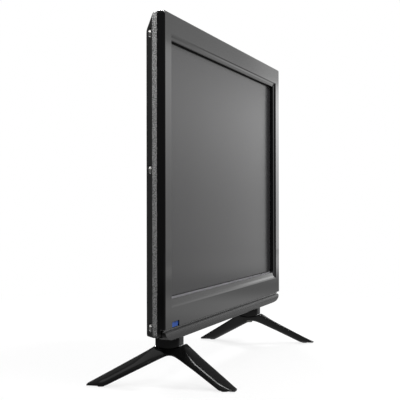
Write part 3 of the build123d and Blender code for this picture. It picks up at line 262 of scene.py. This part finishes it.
class TelevisionFinish(bpy.types.PropertyGroup):
    """Finishes of the mouldings."""

    bezel_grey: bpy.props.FloatProperty(
        name="Bezel grey", description="Colour of the glossy bezel", default=0.006, min=0.0, max=1.0
    )
    bezel_rough: bpy.props.FloatProperty(
        name="Bezel roughness",
        description="Blur of the bezel's reflections",
        default=0.09,
        min=0.0,
        max=1.0,
    )
    screen_tone: bpy.props.FloatProperty(
        name="Screen tone", description="Lightness of the matt screen", default=0.0525, min=0.0, max=1.0
    )
    screen_rough: bpy.props.FloatProperty(
        name="Screen roughness", description="Blur of the matt screen", default=0.19, min=0.0, max=1.0
    )
    cover_grey: bpy.props.FloatProperty(
        name="Cover grey", description="Colour of the grained rear cover", default=0.03, min=0.0, max=1.0
    )
    grain: bpy.props.FloatProperty(
        name="Grain", description="Size of the cover's grain", default=0.0005, unit="LENGTH"
    )
    window_blue: bpy.props.FloatVectorProperty(
        name="Window colour",
        description="Colour of the remote control window",
        default=(0.05, 0.13, 0.5),
        subtype="COLOR",
    )
    foot_grey: bpy.props.FloatProperty(
        name="Foot grey", description="Colour of the glossy feet", default=0.008, min=0.0, max=1.0
    )
    foot_rough: bpy.props.FloatProperty(
        name="Foot roughness",
        description="Blur of the feet's reflections",
        default=0.12,
        min=0.0,
        max=1.0,
    )


class TelevisionShape(bpy.types.PropertyGroup):
    """Sizes of the rounded edges and small fittings."""

    neck_edge: bpy.props.FloatProperty(
        name="Neck edge", description="Radius of the necks' edges", default=0.0005, unit="LENGTH"
    )
    thread_pitch: bpy.props.FloatProperty(
        name="Thread pitch", description="Pitch of the aerial socket's thread", default=0.0008, unit="LENGTH"
    )


class TelevisionStage(bpy.types.PropertyGroup):
    """Camera and light."""

    lens: bpy.props.FloatProperty(name="Lens", description="Focal length in millimetres", default=99.63)
    camera_place: bpy.props.FloatVectorProperty(
        name="Camera place",
        description="Where the camera stands",
        default=(-1.1391, -0.3223, 0.1662),
        subtype="TRANSLATION",
        unit="LENGTH",
    )
    camera_yaw: bpy.props.FloatProperty(
        name="Yaw", description="Turn of the view from +X", default=radians(16.60), subtype="ANGLE"
    )
    camera_pitch: bpy.props.FloatProperty(
        name="Pitch", description="Rise of the view", default=radians(0.29), subtype="ANGLE"
    )
    camera_roll: bpy.props.FloatProperty(
        name="Roll", description="Roll of the view", default=radians(0.09), subtype="ANGLE"
    )
    key_power: bpy.props.FloatProperty(
        name="Key lamp", description="Power of the front lamp", default=14.0, unit="POWER"
    )


# Stage

# Each lamp's name, place, size, share of the key lamp's power, and whether gloss mirrors it
LAMPS = (
    ("lamp_front", (-0.9, -1.5, 1.3), 0.9, 1.0, True),
    ("lamp_top", (0.2, 0.5, 1.9), 1.4, 0.9, False),
    ("lamp_rear", (1.5, 0.7, 1.1), 0.45, 1.6, True),
    ("lamp_screen", (0.5, -1.0, 1.4), 0.5, 1.2, True),
    ("lamp_side", (-0.55, -0.02, 0.62), 0.06, 0.11, True),
    ("lamp_streak", (0.0, 0.01, 1.6), 0.2, 0.06, True),
    ("lamp_band", (-0.2, 0.63, 1.52), 0.8, 0.05, True),
)
LAMP_AIM = Vector((0.0, 0.0, 0.15))


class TV_OT_stage(bpy.types.Operator):
    """Camera, floor, lamps and the studio around them"""

    bl_idname = "tv.stage"
    bl_label = "Stage"

    def execute(self, context):
        stage = context.scene.tv_stage
        camera = bpy.data.objects.new("camera", bpy.data.cameras.new("camera"))
        context.scene.collection.objects.link(camera)
        camera.data.lens = stage.lens
        camera.data.sensor_width = 36.0
        camera.data.clip_start = 0.01
        turn = (
            Matrix.Rotation(stage.camera_yaw - radians(90), 4, "Z")
            @ Matrix.Rotation(radians(90) + stage.camera_pitch, 4, "X")
            @ Matrix.Rotation(-stage.camera_roll, 4, "Z")
        )
        camera.matrix_world = Matrix.Translation(Vector(stage.camera_place)) @ turn
        context.scene.camera = camera
        context.scene.view_settings.view_transform = "Standard"
        self.floor(context)
        self.lamps(context, stage)
        self.studio(context)
        return {"FINISHED"}

    def floor(self, context):
        """White paper to the camera, and to the set's gloss and light a glowing grey table, whose glow is
        painted light.
        """
        work = bmesh.new()
        bmesh.ops.create_circle(work, cap_ends=True, radius=3.0, segments=96)
        mesh = bpy.data.meshes.new("floor")
        work.to_mesh(mesh)
        work.free()
        floor = bpy.data.objects.new("floor", mesh)
        context.scene.collection.objects.link(floor)
        made, finish = material("floor_paper")
        x, y = finish.parts(finish.place())[:2]
        away = (x * x + y * y).power(0.5)
        # Paper takes the set's shadow near it, and fades to plain white further out
        paper = finish.out("ShaderNodeBsdfPrincipled", Base_Color=grey(0.93), Roughness=0.9)
        white = finish.out("ShaderNodeEmission", Color=grey(1.0), Strength=1.0)
        share = away.above(0.35, 0.9) * 0.2 + 0.8
        shown = finish.out("ShaderNodeMixShader", i0=share, i1=paper, i2=white)
        # The table's glow is painted light: its level, by metres from the set, falls off to the left and to
        # the rear
        near = away.above(0.35, 0.6) * 0.08 - away.above(0.7, 1.0) * 0.09 + 0.28
        far = away.above(1.2, 2.0) * (y.above(-0.7, -0.5) * 0.35 + 0.05)
        leftwards = x.above(-0.7, 0.3) * 0.8 + 0.2
        rearwards = 1.0 - y.above(-0.1, 0.4) * 0.6
        beside = 1.0 - y.above(-0.36, -0.22) * away.above(0.7, 1.2) * 0.25
        tone = finish.shade((near + far) * leftwards * rearwards * beside, grey(0.0), grey(1.0))
        # The table glows with this painted light level instead of being lit
        glowing_table = finish.out("ShaderNodeEmission", Color=tone, Strength=1.0)
        seen = finish.out("ShaderNodeLightPath", "Is Camera Ray")
        whole = finish.out("ShaderNodeMixShader", i0=seen, i1=glowing_table, i2=shown)
        finish.node("ShaderNodeOutputMaterial", Surface=whole)
        mesh.materials.append(made)

    def lamps(self, context, stage):
        for name, place, size, share, mirrored in LAMPS:
            lamp = bpy.data.objects.new(name, bpy.data.lights.new(name, "AREA"))
            context.scene.collection.objects.link(lamp)
            lamp.data.shape = "DISK"
            lamp.data.size = size
            lamp.data.energy = stage.key_power * share
            lamp.visible_glossy = mirrored
            turn = (LAMP_AIM - Vector(place)).to_track_quat("-Z", "Y")
            lamp.matrix_world = Matrix.Translation(Vector(place)) @ turn.to_matrix().to_4x4()

    def studio(self, context):
        """White to the camera. To the set it is a bright wall on its right, below a dim ceiling."""
        world = bpy.data.worlds.new("studio")
        context.scene.world = world
        world.use_nodes = True
        world.node_tree.nodes.clear()
        finish = Finish(world.node_tree)
        x, y, z = finish.parts(finish.out("ShaderNodeTexCoord", "Generated"))
        side = x.above(0.1, 0.8) * (1.0 - y.above(-0.05, 0.5))
        # The wall brightens upwards, drops above a slanting edge, and has a low and a tall bright pane
        wall = (z.above(-0.02, 0.14) * 0.34 + 0.32) * (1.0 - (z + y * 0.4).above(0.019, 0.0235) * 0.52)
        low_pane = 1.0 + y.above(-0.265, -0.225) * (1.0 - z.above(0.08, 0.12)) * 0.4
        tall_pane = 1.0 + y.above(-0.245, -0.222) * 0.7
        ceiling = z.above(0.17, 0.42)
        level = side * (wall * low_pane * tall_pane) * (1.0 - ceiling) + ceiling * 0.07 + 0.045
        seen = finish.out("ShaderNodeLightPath", "Is Camera Ray")
        glow = finish.out("ShaderNodeBackground", Color=grey(1.0), Strength=seen + (1.0 - seen) * level)
        finish.node("ShaderNodeOutputWorld", Surface=glow)


# Front

# How far the screen's painted lines reach in from the edges of the glass, and their blur: a painted shadow
# line along its upper edge, and a painted highlight line with a painted shade line just above it along its
# lower edge
SHADOW_LINE_REACH = 0.006
SHADOW_LINE_BLUR = 0.0003
HIGHLIGHT_LINE_REACH = 0.006
SHADE_REACH = 0.007
LINE_BLUR = 0.0002


class TV_OT_front(bpy.types.Operator):
    """Glossy bezel and satin chin trim"""

    bl_idname = "tv.front"
    bl_label = "Bezel and chin"

    def execute(self, context):
        look = context.scene.tv_finish
        for name, node, rough, rough_spread, coat in (
            ("gloss_black_moulding", "front_bezel", look.bezel_rough, 0.03, 0.5),
            ("satin_black_chin", "chin_trim", look.bezel_rough * 3.0, 0.04, 0.2),
        ):
            made = plastic(
                name,
                grey(look.bezel_grey, 1.06),
                spread=0.002,
                rough=rough,
                rough_spread=rough_spread,
                grain=0.0022,
                grain_height=0.0000015,
                wave=0.03,
                coat=coat,
            )
            give([node], made)
        return {"FINISHED"}


class TV_OT_screen(bpy.types.Operator):
    """Matt screen with its fine anti-glare grain, a painted shadow line along its upper edge, and a painted
    highlight line and a painted shade line along its lower edge
    """

    bl_idname = "tv.screen"
    bl_label = "Screen"

    def execute(self, context):
        look = context.scene.tv_finish
        made, finish = material("matt_screen")
        place = finish.place()
        haze = finish.noise(place, scale=9.0, detail=3.0)
        grain = finish.noise(place, scale=5200.0)
        low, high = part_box("lcd_glass")
        height = finish.parts(place)[2]
        foot, top = low[2], high[2]
        # A painted shadow line along the top of the glass, where the bezel's cove shades it
        painted_shadow_line = height.above(top - SHADOW_LINE_REACH - SHADOW_LINE_BLUR, top - SHADOW_LINE_REACH)
        # Along the bottom, a painted highlight for the light on the bezel's lower lip, with a painted shade
        # line just above it
        painted_lip_highlight = 1.0 - height.above(foot + HIGHLIGHT_LINE_REACH - LINE_BLUR, foot + HIGHLIGHT_LINE_REACH + LINE_BLUR)
        painted_shade_line = 1.0 - height.above(foot + SHADE_REACH - LINE_BLUR, foot + SHADE_REACH + LINE_BLUR)
        # The painted shade darkens the screen's colour along both dark lines, and the painted highlight
        # lightens it along the bottom
        painted_shading = (1.0 - painted_shadow_line * 0.9) * (1.0 - painted_shade_line * 0.8)
        tone = (haze * 0.015 + look.screen_tone) * painted_shading + painted_lip_highlight * 0.6
        surface(
            finish,
            Base_Color=finish.shade(tone, grey(0.004), (0.504, 0.496, 0.53, 1.0)),
            Roughness=look.screen_rough + (haze + grain - 1.0) * 0.03 + painted_shadow_line.most(painted_shade_line) * 0.7,
            Normal=finish.bump(grain * 0.000004),
        )
        give(["lcd_glass"], made)
        return {"FINISHED"}


class TV_OT_window(bpy.types.Operator):
    """Blue remote control window"""

    bl_idname = "tv.window"
    bl_label = "Remote control window"

    def execute(self, context):
        blue = tuple(context.scene.tv_finish.window_blue) + (1.0,)
        made, finish = material("window_lens")
        depth = finish.noise(finish.place(), scale=180.0)
        surface(
            finish,
            Base_Color=finish.shade(depth, toned(blue, 0.75), blue),
            Roughness=0.5 + (depth - 0.5) * 0.1,
            IOR=1.25,
        )
        give(["ir_window"], made)
        return {"FINISHED"}


# Rear

# Where the speckled rim ends, and where the screw wells, with the painted highlights on their floors, start,
# end and break out of the side
RIM_END = (-0.0076, -0.0066)
WELL_START = (-0.0064, -0.0058)
WELL_END = (0.0, 0.0012)
WELL_SIDE = (0.2195, 0.2205)


class TV_OT_rear(bpy.types.Operator):
    """Grained rear cover with its speckled rim, partly painted sparkle, painted highlights on its screw
    wells' floors, its screws and the wall mount inserts
    """

    bl_idname = "tv.rear"
    bl_label = "Rear cover"

    def execute(self, context):
        look = context.scene.tv_finish
        made, finish = material("grained_cover")
        place = finish.place()
        x, y = finish.parts(place)[:2]
        cloud = finish.noise(place, scale=14.0, detail=3.0)
        pits = finish.out("ShaderNodeTexVoronoi", "Distance", Vector=place, Scale=1.0 / look.grain)
        fine = finish.noise(place, scale=1.4 / look.grain, detail=3.0, rough=0.65)
        base = grey(look.cover_grey)
        plain = finish.shade((cloud + fine) * 0.5, toned(base, 0.7), toned(base, 1.35))
        # The rim along the cover's front is a lighter speckled grey: partly its grain, and partly painted
        # sparkle standing in for the glints off that grain
        rim = 1.0 - y.above(*RIM_END)
        # Light speckles in the rim's colour: painted sparkle for its grain's glints
        painted_sparkle = finish.noise(place, scale=1100.0, rough=0.7).above(0.42, 0.66)
        speckled = finish.shade(painted_sparkle, grey(0.1), grey(0.62))
        # The upward floor of each screw well, where it breaks out of the side, gets a painted highlight:
        # light grey wherever it faces up
        upward = finish.parts(finish.out("ShaderNodeNewGeometry", "Normal"))[2].above(0.55, 0.9)
        behind_rim = y.above(*WELL_START) * (1.0 - y.above(*WELL_END))
        well_highlight = upward * behind_rim * x.abs().above(*WELL_SIDE)
        # The well floors' painted highlight is light grey laid over the cover's colour
        surface(
            finish,
            Base_Color=finish.shade(well_highlight, finish.shade(rim, plain, speckled), grey(0.75)),
            Roughness=0.55 + (fine - 0.5) * 0.2 - rim * 0.12,
            Normal=finish.bump(pits * 0.00003 + fine * 0.00004),
        )
        give(["rear_cover"], made)
        give(["cover_screws"], metal("nickel_screws", (0.85, 0.84, 0.82, 1.0), rough=0.42, streak=1.0))
        give(["wall_mount_inserts"], metal("brass_inserts", (0.72, 0.56, 0.3, 1.0), rough=0.28, streak=1.0))
        return {"FINISHED"}


class TV_OT_keys(bpy.types.Operator):
    """Seven keys on the rear"""

    bl_idname = "tv.keys"
    bl_label = "Keys"

    def execute(self, context):
        made = plastic(
            "satin_keys",
            grey(0.02),
            spread=0.005,
            rough=0.38,
            rough_spread=0.08,
            grain=0.0006,
            grain_height=0.000008,
            wave=0.01,
        )
        give(["key_%d" % number for number in range(1, 8)], made)
        return {"FINISHED"}


# Each row of contacts: its name, its socket, their number, the row's length and its rise from the middle
CONTACT_ROWS = (
    ("hdmi_contacts", "hdmi_socket", 10, 0.0092, -0.0006),
    ("usb_contacts", "usb_socket", 4, 0.0076, -0.00005),
)
CONTACT_SIZE = (0.0005, 0.0062, 0.0001, 1.0)
CONTACT_DEPTH = 0.0042
CONTACT_EDGE = 0.00003
# Plated rings round the mouths of the jacks
JACK_X = (-0.026, -0.010)
RING_RADIUS = 0.0018
RING_GROWTH = 1.45
RING_THICK = 0.0002
RING_SEAT = 0.00001
# Thread of the aerial socket
THREAD_START = 0.0085
THREAD_LENGTH = 0.0075
THREAD_ROOT = 0.0004
THREAD_CREST = 0.00002


class TV_OT_sockets(bpy.types.Operator):
    """Sockets with their contacts, the jacks' rings and the aerial thread"""

    bl_idname = "tv.sockets"
    bl_label = "Sockets"

    def execute(self, context):
        tin = metal("tinned_shells", (0.72, 0.72, 0.7, 1.0), rough=0.3, streak=0.2)
        gold = metal("gilt_contacts", (0.85, 0.62, 0.25, 1.0), rough=0.25, streak=1.0)
        for name, nodes, base, spread, rough in (
            ("socket_plastic", ["audio_jacks", "mains_inlet"], grey(0.018), 0.004, 0.45),
            ("video_plastic", ["vga_socket"], (0.03, 0.09, 0.38, 1.0), 0.01, 0.42),
        ):
            made = plastic(
                name,
                base,
                spread=spread,
                rough=rough,
                rough_spread=0.08,
                grain=0.0005,
                grain_height=0.00001,
                wave=0.01,
            )
            give(nodes, made)
        give(["hdmi_socket", "usb_socket", "aerial_socket", "tuner_module"], tin)
        self.contacts(gold)
        self.jack_rings(tin)
        self.thread(context.scene.tv_shape.thread_pitch, tin)
        return {"FINISHED"}

    def contacts(self, gold):
        """Rows of contacts on the tongues of the two flat sockets."""
        for name, node, count, span, step_z in CONTACT_ROWS:
            low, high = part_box(node)
            middle = [(a + b) / 2 for a, b in zip(low, high)]
            work = bmesh.new()
            for number in range(count):
                x = middle[0] + span * (number / (count - 1) - 0.5)
                place = Matrix.Translation((x, high[1] - CONTACT_DEPTH, middle[2] + step_z))
                bmesh.ops.create_cube(work, size=1.0, matrix=place @ Matrix.Diagonal(CONTACT_SIZE))
            bmesh.ops.bevel(
                work,
                geom=work.edges,
                offset=CONTACT_EDGE,
                offset_type="OFFSET",
                segments=1,
                profile=0.5,
                affect="EDGES",
                material=-1,
            )
            keep(name, work, gold, node)

    def jack_rings(self, tin):
        """A plated ring round the mouth of each jack."""
        low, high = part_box("audio_jacks")
        work = bmesh.new()
        for x in JACK_X:
            before = set(work.verts)
            bmesh.ops.create_circle(work, cap_ends=False, radius=RING_RADIUS, segments=40)
            rim = [edge for edge in work.edges if edge.verts[0] not in before]
            grown = bmesh.ops.extrude_edge_only(work, edges=rim)["geom"]
            outer = [item for item in grown if isinstance(item, bmesh.types.BMVert)]
            bmesh.ops.scale(work, vec=(RING_GROWTH, RING_GROWTH, 1.0), verts=outer)
            fresh = [vert for vert in work.verts if vert not in before]
            turn = Matrix.Rotation(radians(90), 4, "X")
            place = Matrix.Translation((x, high[1] - RING_SEAT, (low[2] + high[2]) / 2))
            bmesh.ops.transform(work, matrix=place @ turn, verts=fresh)
        bmesh.ops.solidify(work, geom=work.faces[:], thickness=RING_THICK)
        smoothed(keep("jack_rings", work, tin, "audio_jacks"), 30)

    def thread(self, pitch, tin):
        """The screw thread on the aerial socket, as a stack of fine ridges."""
        low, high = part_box("aerial_socket")
        radius = (high[0] - low[0]) / 2
        work = bmesh.new()
        for number in range(int(THREAD_LENGTH / pitch)):
            y = high[1] - THREAD_START + number * pitch
            front = work.verts.new((radius - THREAD_ROOT, y, 0.0))
            crest = work.verts.new((radius - THREAD_CREST, y + pitch * 0.35, 0.0))
            back = work.verts.new((radius - THREAD_ROOT, y + pitch * 0.7, 0.0))
            section = ((front, crest), (crest, back), (back, front))
            bmesh.ops.spin(
                work,
                geom=[front, crest, back] + [work.edges.new(pair) for pair in section],
                cent=(0.0, y, 0.0),
                axis=(0.0, 1.0, 0.0),
                angle=radians(360),
                steps=48,
                use_merge=True,
            )
        centre = ((low[0] + high[0]) / 2, 0.0, (low[2] + high[2]) / 2)
        bmesh.ops.translate(work, vec=centre, verts=work.verts)
        keep("aerial_thread", work, tin, "aerial_socket")


# Stand

# The left foot, with depths behind the set's face and heights above the floor, in millimetres.
# Its crest climbs from both toes to a round saddle, over an arch with two straight flanks.
ORIGIN_DEPTH = 19.0
FOOT_HALF_LENGTH = 70.2
FRONT_TOE = -51.5
REAR_TOE = 89.5
HUB = 20.5
FRONT_TOE_TOP = 2.2
REAR_TOE_TOP = 2.6
FRONT_CREST_SLOPE = 0.6
REAR_CREST_SLOPE = 0.583
SADDLE_CENTRE = 63.2
SADDLE_RADIUS = 30.0
FRONT_ARCH = 20.6
FRONT_ARCH_SLOPE = 0.547
REAR_ARCH = 37.7
REAR_ARCH_SLOPE = 0.518
SOLE = 0.4
THINNEST = 0.6
# How far the corners of that outline are rounded off
CREST_BLEND = 0.4
SADDLE_BLEND = 0.25
ARCH_BLEND = 3.0
SOLE_BLEND = 0.35
# Its plan, how far it leans and turns outwards, and how its limbs narrow to a crest near the outer side
HUB_REACH = 12.0
HUB_FADE = 22.0
TIP_FADE = 16.0
LIMB_HALF_WIDTH = 6.3
HUB_SWELL = 2.3
SWELL_REACH = 72.0
TIP_PINCH = 0.4
FOOT_X = -184.9
FOOT_TURN = 0.033
FOOT_LEAN = 0.93
INNER_CROWN = 0.14
OUTER_CROWN = 0.3
RIDGE_DROP = 0.16
# Squareness of its section, where 2 is an ellipse, and what the hub adds to it
LIMB_SQUARE = 3.0
HUB_SQUARE = 2.0


def soft_least(first, second, blend):
    """The lesser of two heights, with the corner between them rounded."""
    return -blend * log(exp(-first / blend) + exp(-second / blend))


def eased(value):
    """0 below 0, 1 above 1 and smooth between them."""
    value = min(1.0, max(0.0, value))
    return value * value * (3.0 - 2.0 * value)


def squared_off(value, power):
    """A sine or cosine that lingers near its ends, which squares a round section off."""
    return abs(value) ** power * (1.0 if value > 0.0 else -1.0)


def foot_top(depth):
    """Height of the foot's crest."""
    front = FRONT_TOE_TOP + FRONT_CREST_SLOPE * (depth - FRONT_TOE)
    rear = REAR_TOE_TOP + REAR_CREST_SLOPE * (REAR_TOE - depth)
    saddle = SADDLE_CENTRE - max(0.0, SADDLE_RADIUS ** 2 - (depth - HUB) ** 2) ** 0.5
    return soft_least(soft_least(front, rear, CREST_BLEND), saddle, SADDLE_BLEND)


def foot_underside(depth):
    """Height of the foot's underside, which is an arch between two flat soles."""
    front = FRONT_ARCH + FRONT_ARCH_SLOPE * depth
    rear = REAR_ARCH - REAR_ARCH_SLOPE * depth
    return -soft_least(-soft_least(front, rear, ARCH_BLEND), -SOLE, SOLE_BLEND)


def foot_place(depth, turn):
    """A point on the left foot's skin for a depth and a turn round its section."""
    top = foot_top(depth)
    low = min(foot_underside(depth), top - THINNEST)
    hub = 1.0 - eased((abs(depth - HUB) - HUB_REACH) / HUB_FADE)
    tip = eased((depth - FRONT_TOE) / TIP_FADE) * eased((REAR_TOE - depth) / TIP_FADE)
    power = 2.0 / (LIMB_SQUARE + HUB_SQUARE * hub)
    rise = squared_off(sin(turn), power)
    across = squared_off(cos(turn), power)
    half = LIMB_HALF_WIDTH + HUB_SWELL * (1.0 - ((depth - HUB) / SWELL_REACH) ** 2)
    if (across > 0.0) == (depth < HUB):
        half *= 1.0 - TIP_PINCH * (1.0 - tip)
    crown = OUTER_CROWN if across < 0.0 else INNER_CROWN
    half *= 1.0 - crown * (1.0 - hub) * eased((rise + 0.45) / 1.45)
    height = (top + low) / 2.0 + rise * (top - low) / 2.0
    height -= RIDGE_DROP * (top - low) * (1.0 - hub) * eased((0.5 - across) / 1.5) * eased(rise)
    x = FOOT_X - FOOT_TURN * depth + FOOT_LEAN * height + across * half
    return Vector((x * MM, (depth - ORIGIN_DEPTH) * MM, height * MM))


class TV_OT_feet(bpy.types.Operator):
    """Glossy feet with flowing limbs, and their rubber pads"""

    bl_idname = "tv.feet"
    bl_label = "Feet"

    def execute(self, context):
        look = context.scene.tv_finish
        gloss = plastic(
            "gloss_black_feet",
            grey(look.foot_grey),
            spread=0.003,
            rough=look.foot_rough,
            rough_spread=0.03,
            grain=0.0012,
            grain_height=0.00000015,
            wave=0.02,
        )
        for side, mirror in (("left", 1.0), ("right", -1.0)):
            self.foot(side, mirror, gloss)
        rubber = plastic(
            "pad_rubber",
            grey(0.03),
            spread=0.006,
            rough=0.8,
            rough_spread=0.1,
            grain=0.0004,
            grain_height=0.00002,
            wave=0.01,
        )
        give(["foot_pads"], rubber)
        return {"FINISHED"}

    def foot(self, side, mirror, gloss):
        """One foot as a grid that is wrapped round its section from toe to toe."""
        work = bmesh.new()
        bmesh.ops.create_grid(work, x_segments=160, y_segments=64, size=1.0)
        for vert in work.verts:
            place = foot_place(ORIGIN_DEPTH + FOOT_HALF_LENGTH * vert.co.x, pi * vert.co.y)
            vert.co = Vector((place.x * mirror, place.y, place.z))
        bmesh.ops.remove_doubles(work, verts=work.verts, dist=0.000004)
        bmesh.ops.holes_fill(work, edges=work.edges, sides=200)
        node = "stand_foot_" + side
        piece = keep("foot_%s_rounded" % side, work, gloss, node)
        smoothed(piece, 42)
        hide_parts(node)


class TV_OT_necks(bpy.types.Operator):
    """Satin necks with their edges rounded"""

    bl_idname = "tv.necks"
    bl_label = "Necks"

    def execute(self, context):
        satin = plastic(
            "satin_black_necks",
            grey(0.03),
            spread=0.006,
            rough=0.34,
            rough_spread=0.08,
            grain=0.0006,
            grain_height=0.000008,
            wave=0.02,
        )
        for side in ("left", "right"):
            self.neck(side, satin, context.scene.tv_shape.neck_edge)
        return {"FINISHED"}

    def neck(self, side, satin, radius):
        """A copy of the CAD neck with its triangles joined and its sharp edges rounded."""
        node = "stand_neck_" + side
        work = bmesh.new()
        work.from_mesh(frame["nodes"][node].data)
        bmesh.ops.remove_doubles(work, verts=work.verts, dist=0.00001)
        bmesh.ops.dissolve_limit(
            work, angle_limit=radians(0.6), verts=work.verts, edges=work.edges, delimit={"NORMAL"}
        )
        piece = keep("neck_%s_rounded" % side, work, satin, node)
        bevel = piece.modifiers.new("Edges", "BEVEL")
        bevel.width = radius
        bevel.segments = 3
        bevel.limit_method = "ANGLE"
        bevel.angle_limit = radians(35)
        bevel.use_clamp_overlap = True
        bevel.harden_normals = True
        smoothed(piece, 24)
        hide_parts(node)


# Inside

# Each metal: its name, colour, roughness and streak, and the nodes that it is on
INNER_METALS = (
    (
        "zinc_plated_steel", (0.6, 0.61, 0.62, 1.0), 0.36, 0.05,
        [
            "panel_frame", "panel_chassis", "panel_rail_left", "panel_rail_right",
            "stand_bracket_left", "stand_bracket_right",
        ],
    ),
    (
        "bright_screws", (0.62, 0.62, 0.6, 1.0), 0.3, 1.0,
        ["rail_screws", "board_screws", "stand_screws"],
    ),
    (
        "finned_aluminium", (0.74, 0.74, 0.75, 1.0), 0.32, 0.1,
        ["processor_heatsink", "power_heatsink", "led_bar"],
    ),
)
# Each plastic, paper or board: its name and colour; the spread of its colour, its roughness and the
# spread of that; its grain's size and height and its wave's length; and the nodes that it is on
INNER_PLASTICS = (
    (
        "white_tray", grey(0.75), 0.03, 0.5, 0.08, 0.0008, 0.00001, 0.02,
        ["panel_tray"],
    ),
    (
        "white_film", grey(0.85), 0.02, 0.42, 0.06, 0.003, 0.000002, 0.05,
        ["optical_sheets", "reflector_sheet", "panel_ribbon"],
    ),
    (
        "clear_guide", (0.8, 0.83, 0.84, 1.0), 0.02, 0.12, 0.04, 0.004, 0.000002, 0.05,
        ["light_guide"],
    ),
    (
        "green_circuit_board", (0.02, 0.16, 0.06, 1.0), 0.01, 0.36, 0.1, 0.0012, 0.00002, 0.01,
        ["main_board", "driver_board", "ir_board"],
    ),
    (
        "tan_circuit_board", (0.45, 0.3, 0.13, 1.0), 0.03, 0.5, 0.1, 0.0009, 0.00002, 0.01,
        ["power_board", "key_board"],
    ),
    (
        "inner_black", grey(0.02), 0.004, 0.5, 0.08, 0.0006, 0.00001, 0.02,
        ["speaker_box_left", "speaker_box_right", "speaker_leads", "key_leads"],
    ),
    (
        "ferrite_core", grey(0.07), 0.02, 0.6, 0.1, 0.0005, 0.00003, 0.01,
        ["transformer"],
    ),
    (
        "capacitor_sleeves", (0.03, 0.04, 0.12, 1.0), 0.01, 0.25, 0.05, 0.001, 0.000004, 0.01,
        ["capacitors"],
    ),
    (
        "cone_paper", grey(0.04), 0.01, 0.85, 0.1, 0.0005, 0.00004, 0.005,
        ["speaker_driver_left", "speaker_driver_right"],
    ),
    (
        "red_wire", (0.5, 0.03, 0.03, 1.0), 0.02, 0.4, 0.06, 0.0008, 0.000004, 0.01,
        ["power_harness"],
    ),
)


class TV_OT_inside(bpy.types.Operator):
    """Panel layers, boards, loudspeakers, leads and steel parts"""

    bl_idname = "tv.inside"
    bl_label = "Inside"

    def execute(self, context):
        for *look, nodes in INNER_METALS:
            give(nodes, metal(*look))
        for *look, nodes in INNER_PLASTICS:
            give(nodes, plastic(*look))
        return {"FINISHED"}


class TV_PT_panel(bpy.types.Panel):
    """Lists the steps in order, and the sizes and colours"""

    bl_label = "Television"
    bl_idname = "TV_PT_panel"
    bl_space_type = "VIEW_3D"
    bl_region_type = "UI"
    bl_category = "Television"

    def draw(self, context):
        for step in STEPS:
            self.layout.operator(step.bl_idname)
        for name, group in GROUPS:
            column = self.layout.column()
            for key in group.__annotations__:
                column.prop(getattr(context.scene, name), key)


STEPS = (
    TV_OT_stage,
    TV_OT_front,
    TV_OT_screen,
    TV_OT_window,
    TV_OT_rear,
    TV_OT_keys,
    TV_OT_sockets,
    TV_OT_feet,
    TV_OT_necks,
    TV_OT_inside,
)
GROUPS = (
    ("tv_finish", TelevisionFinish),
    ("tv_shape", TelevisionShape),
    ("tv_stage", TelevisionStage),
)


def register():
    for name, group in GROUPS:
        bpy.utils.register_class(group)
        setattr(bpy.types.Scene, name, bpy.props.PointerProperty(type=group))
    for step in STEPS:
        bpy.utils.register_class(step)
    bpy.utils.register_class(TV_PT_panel)


def unregister():
    bpy.utils.unregister_class(TV_PT_panel)
    for step in reversed(STEPS):
        bpy.utils.unregister_class(step)
    for name, group in reversed(GROUPS):
        delattr(bpy.types.Scene, name)
        bpy.utils.unregister_class(group)


def main():
    register()
    bpy.ops.tv.stage()
    bpy.ops.tv.front()
    bpy.ops.tv.screen()
    bpy.ops.tv.window()
    bpy.ops.tv.rear()
    bpy.ops.tv.keys()
    bpy.ops.tv.sockets()
    bpy.ops.tv.feet()
    bpy.ops.tv.necks()
    bpy.ops.tv.inside()


if __name__ == "__main__":
    main()
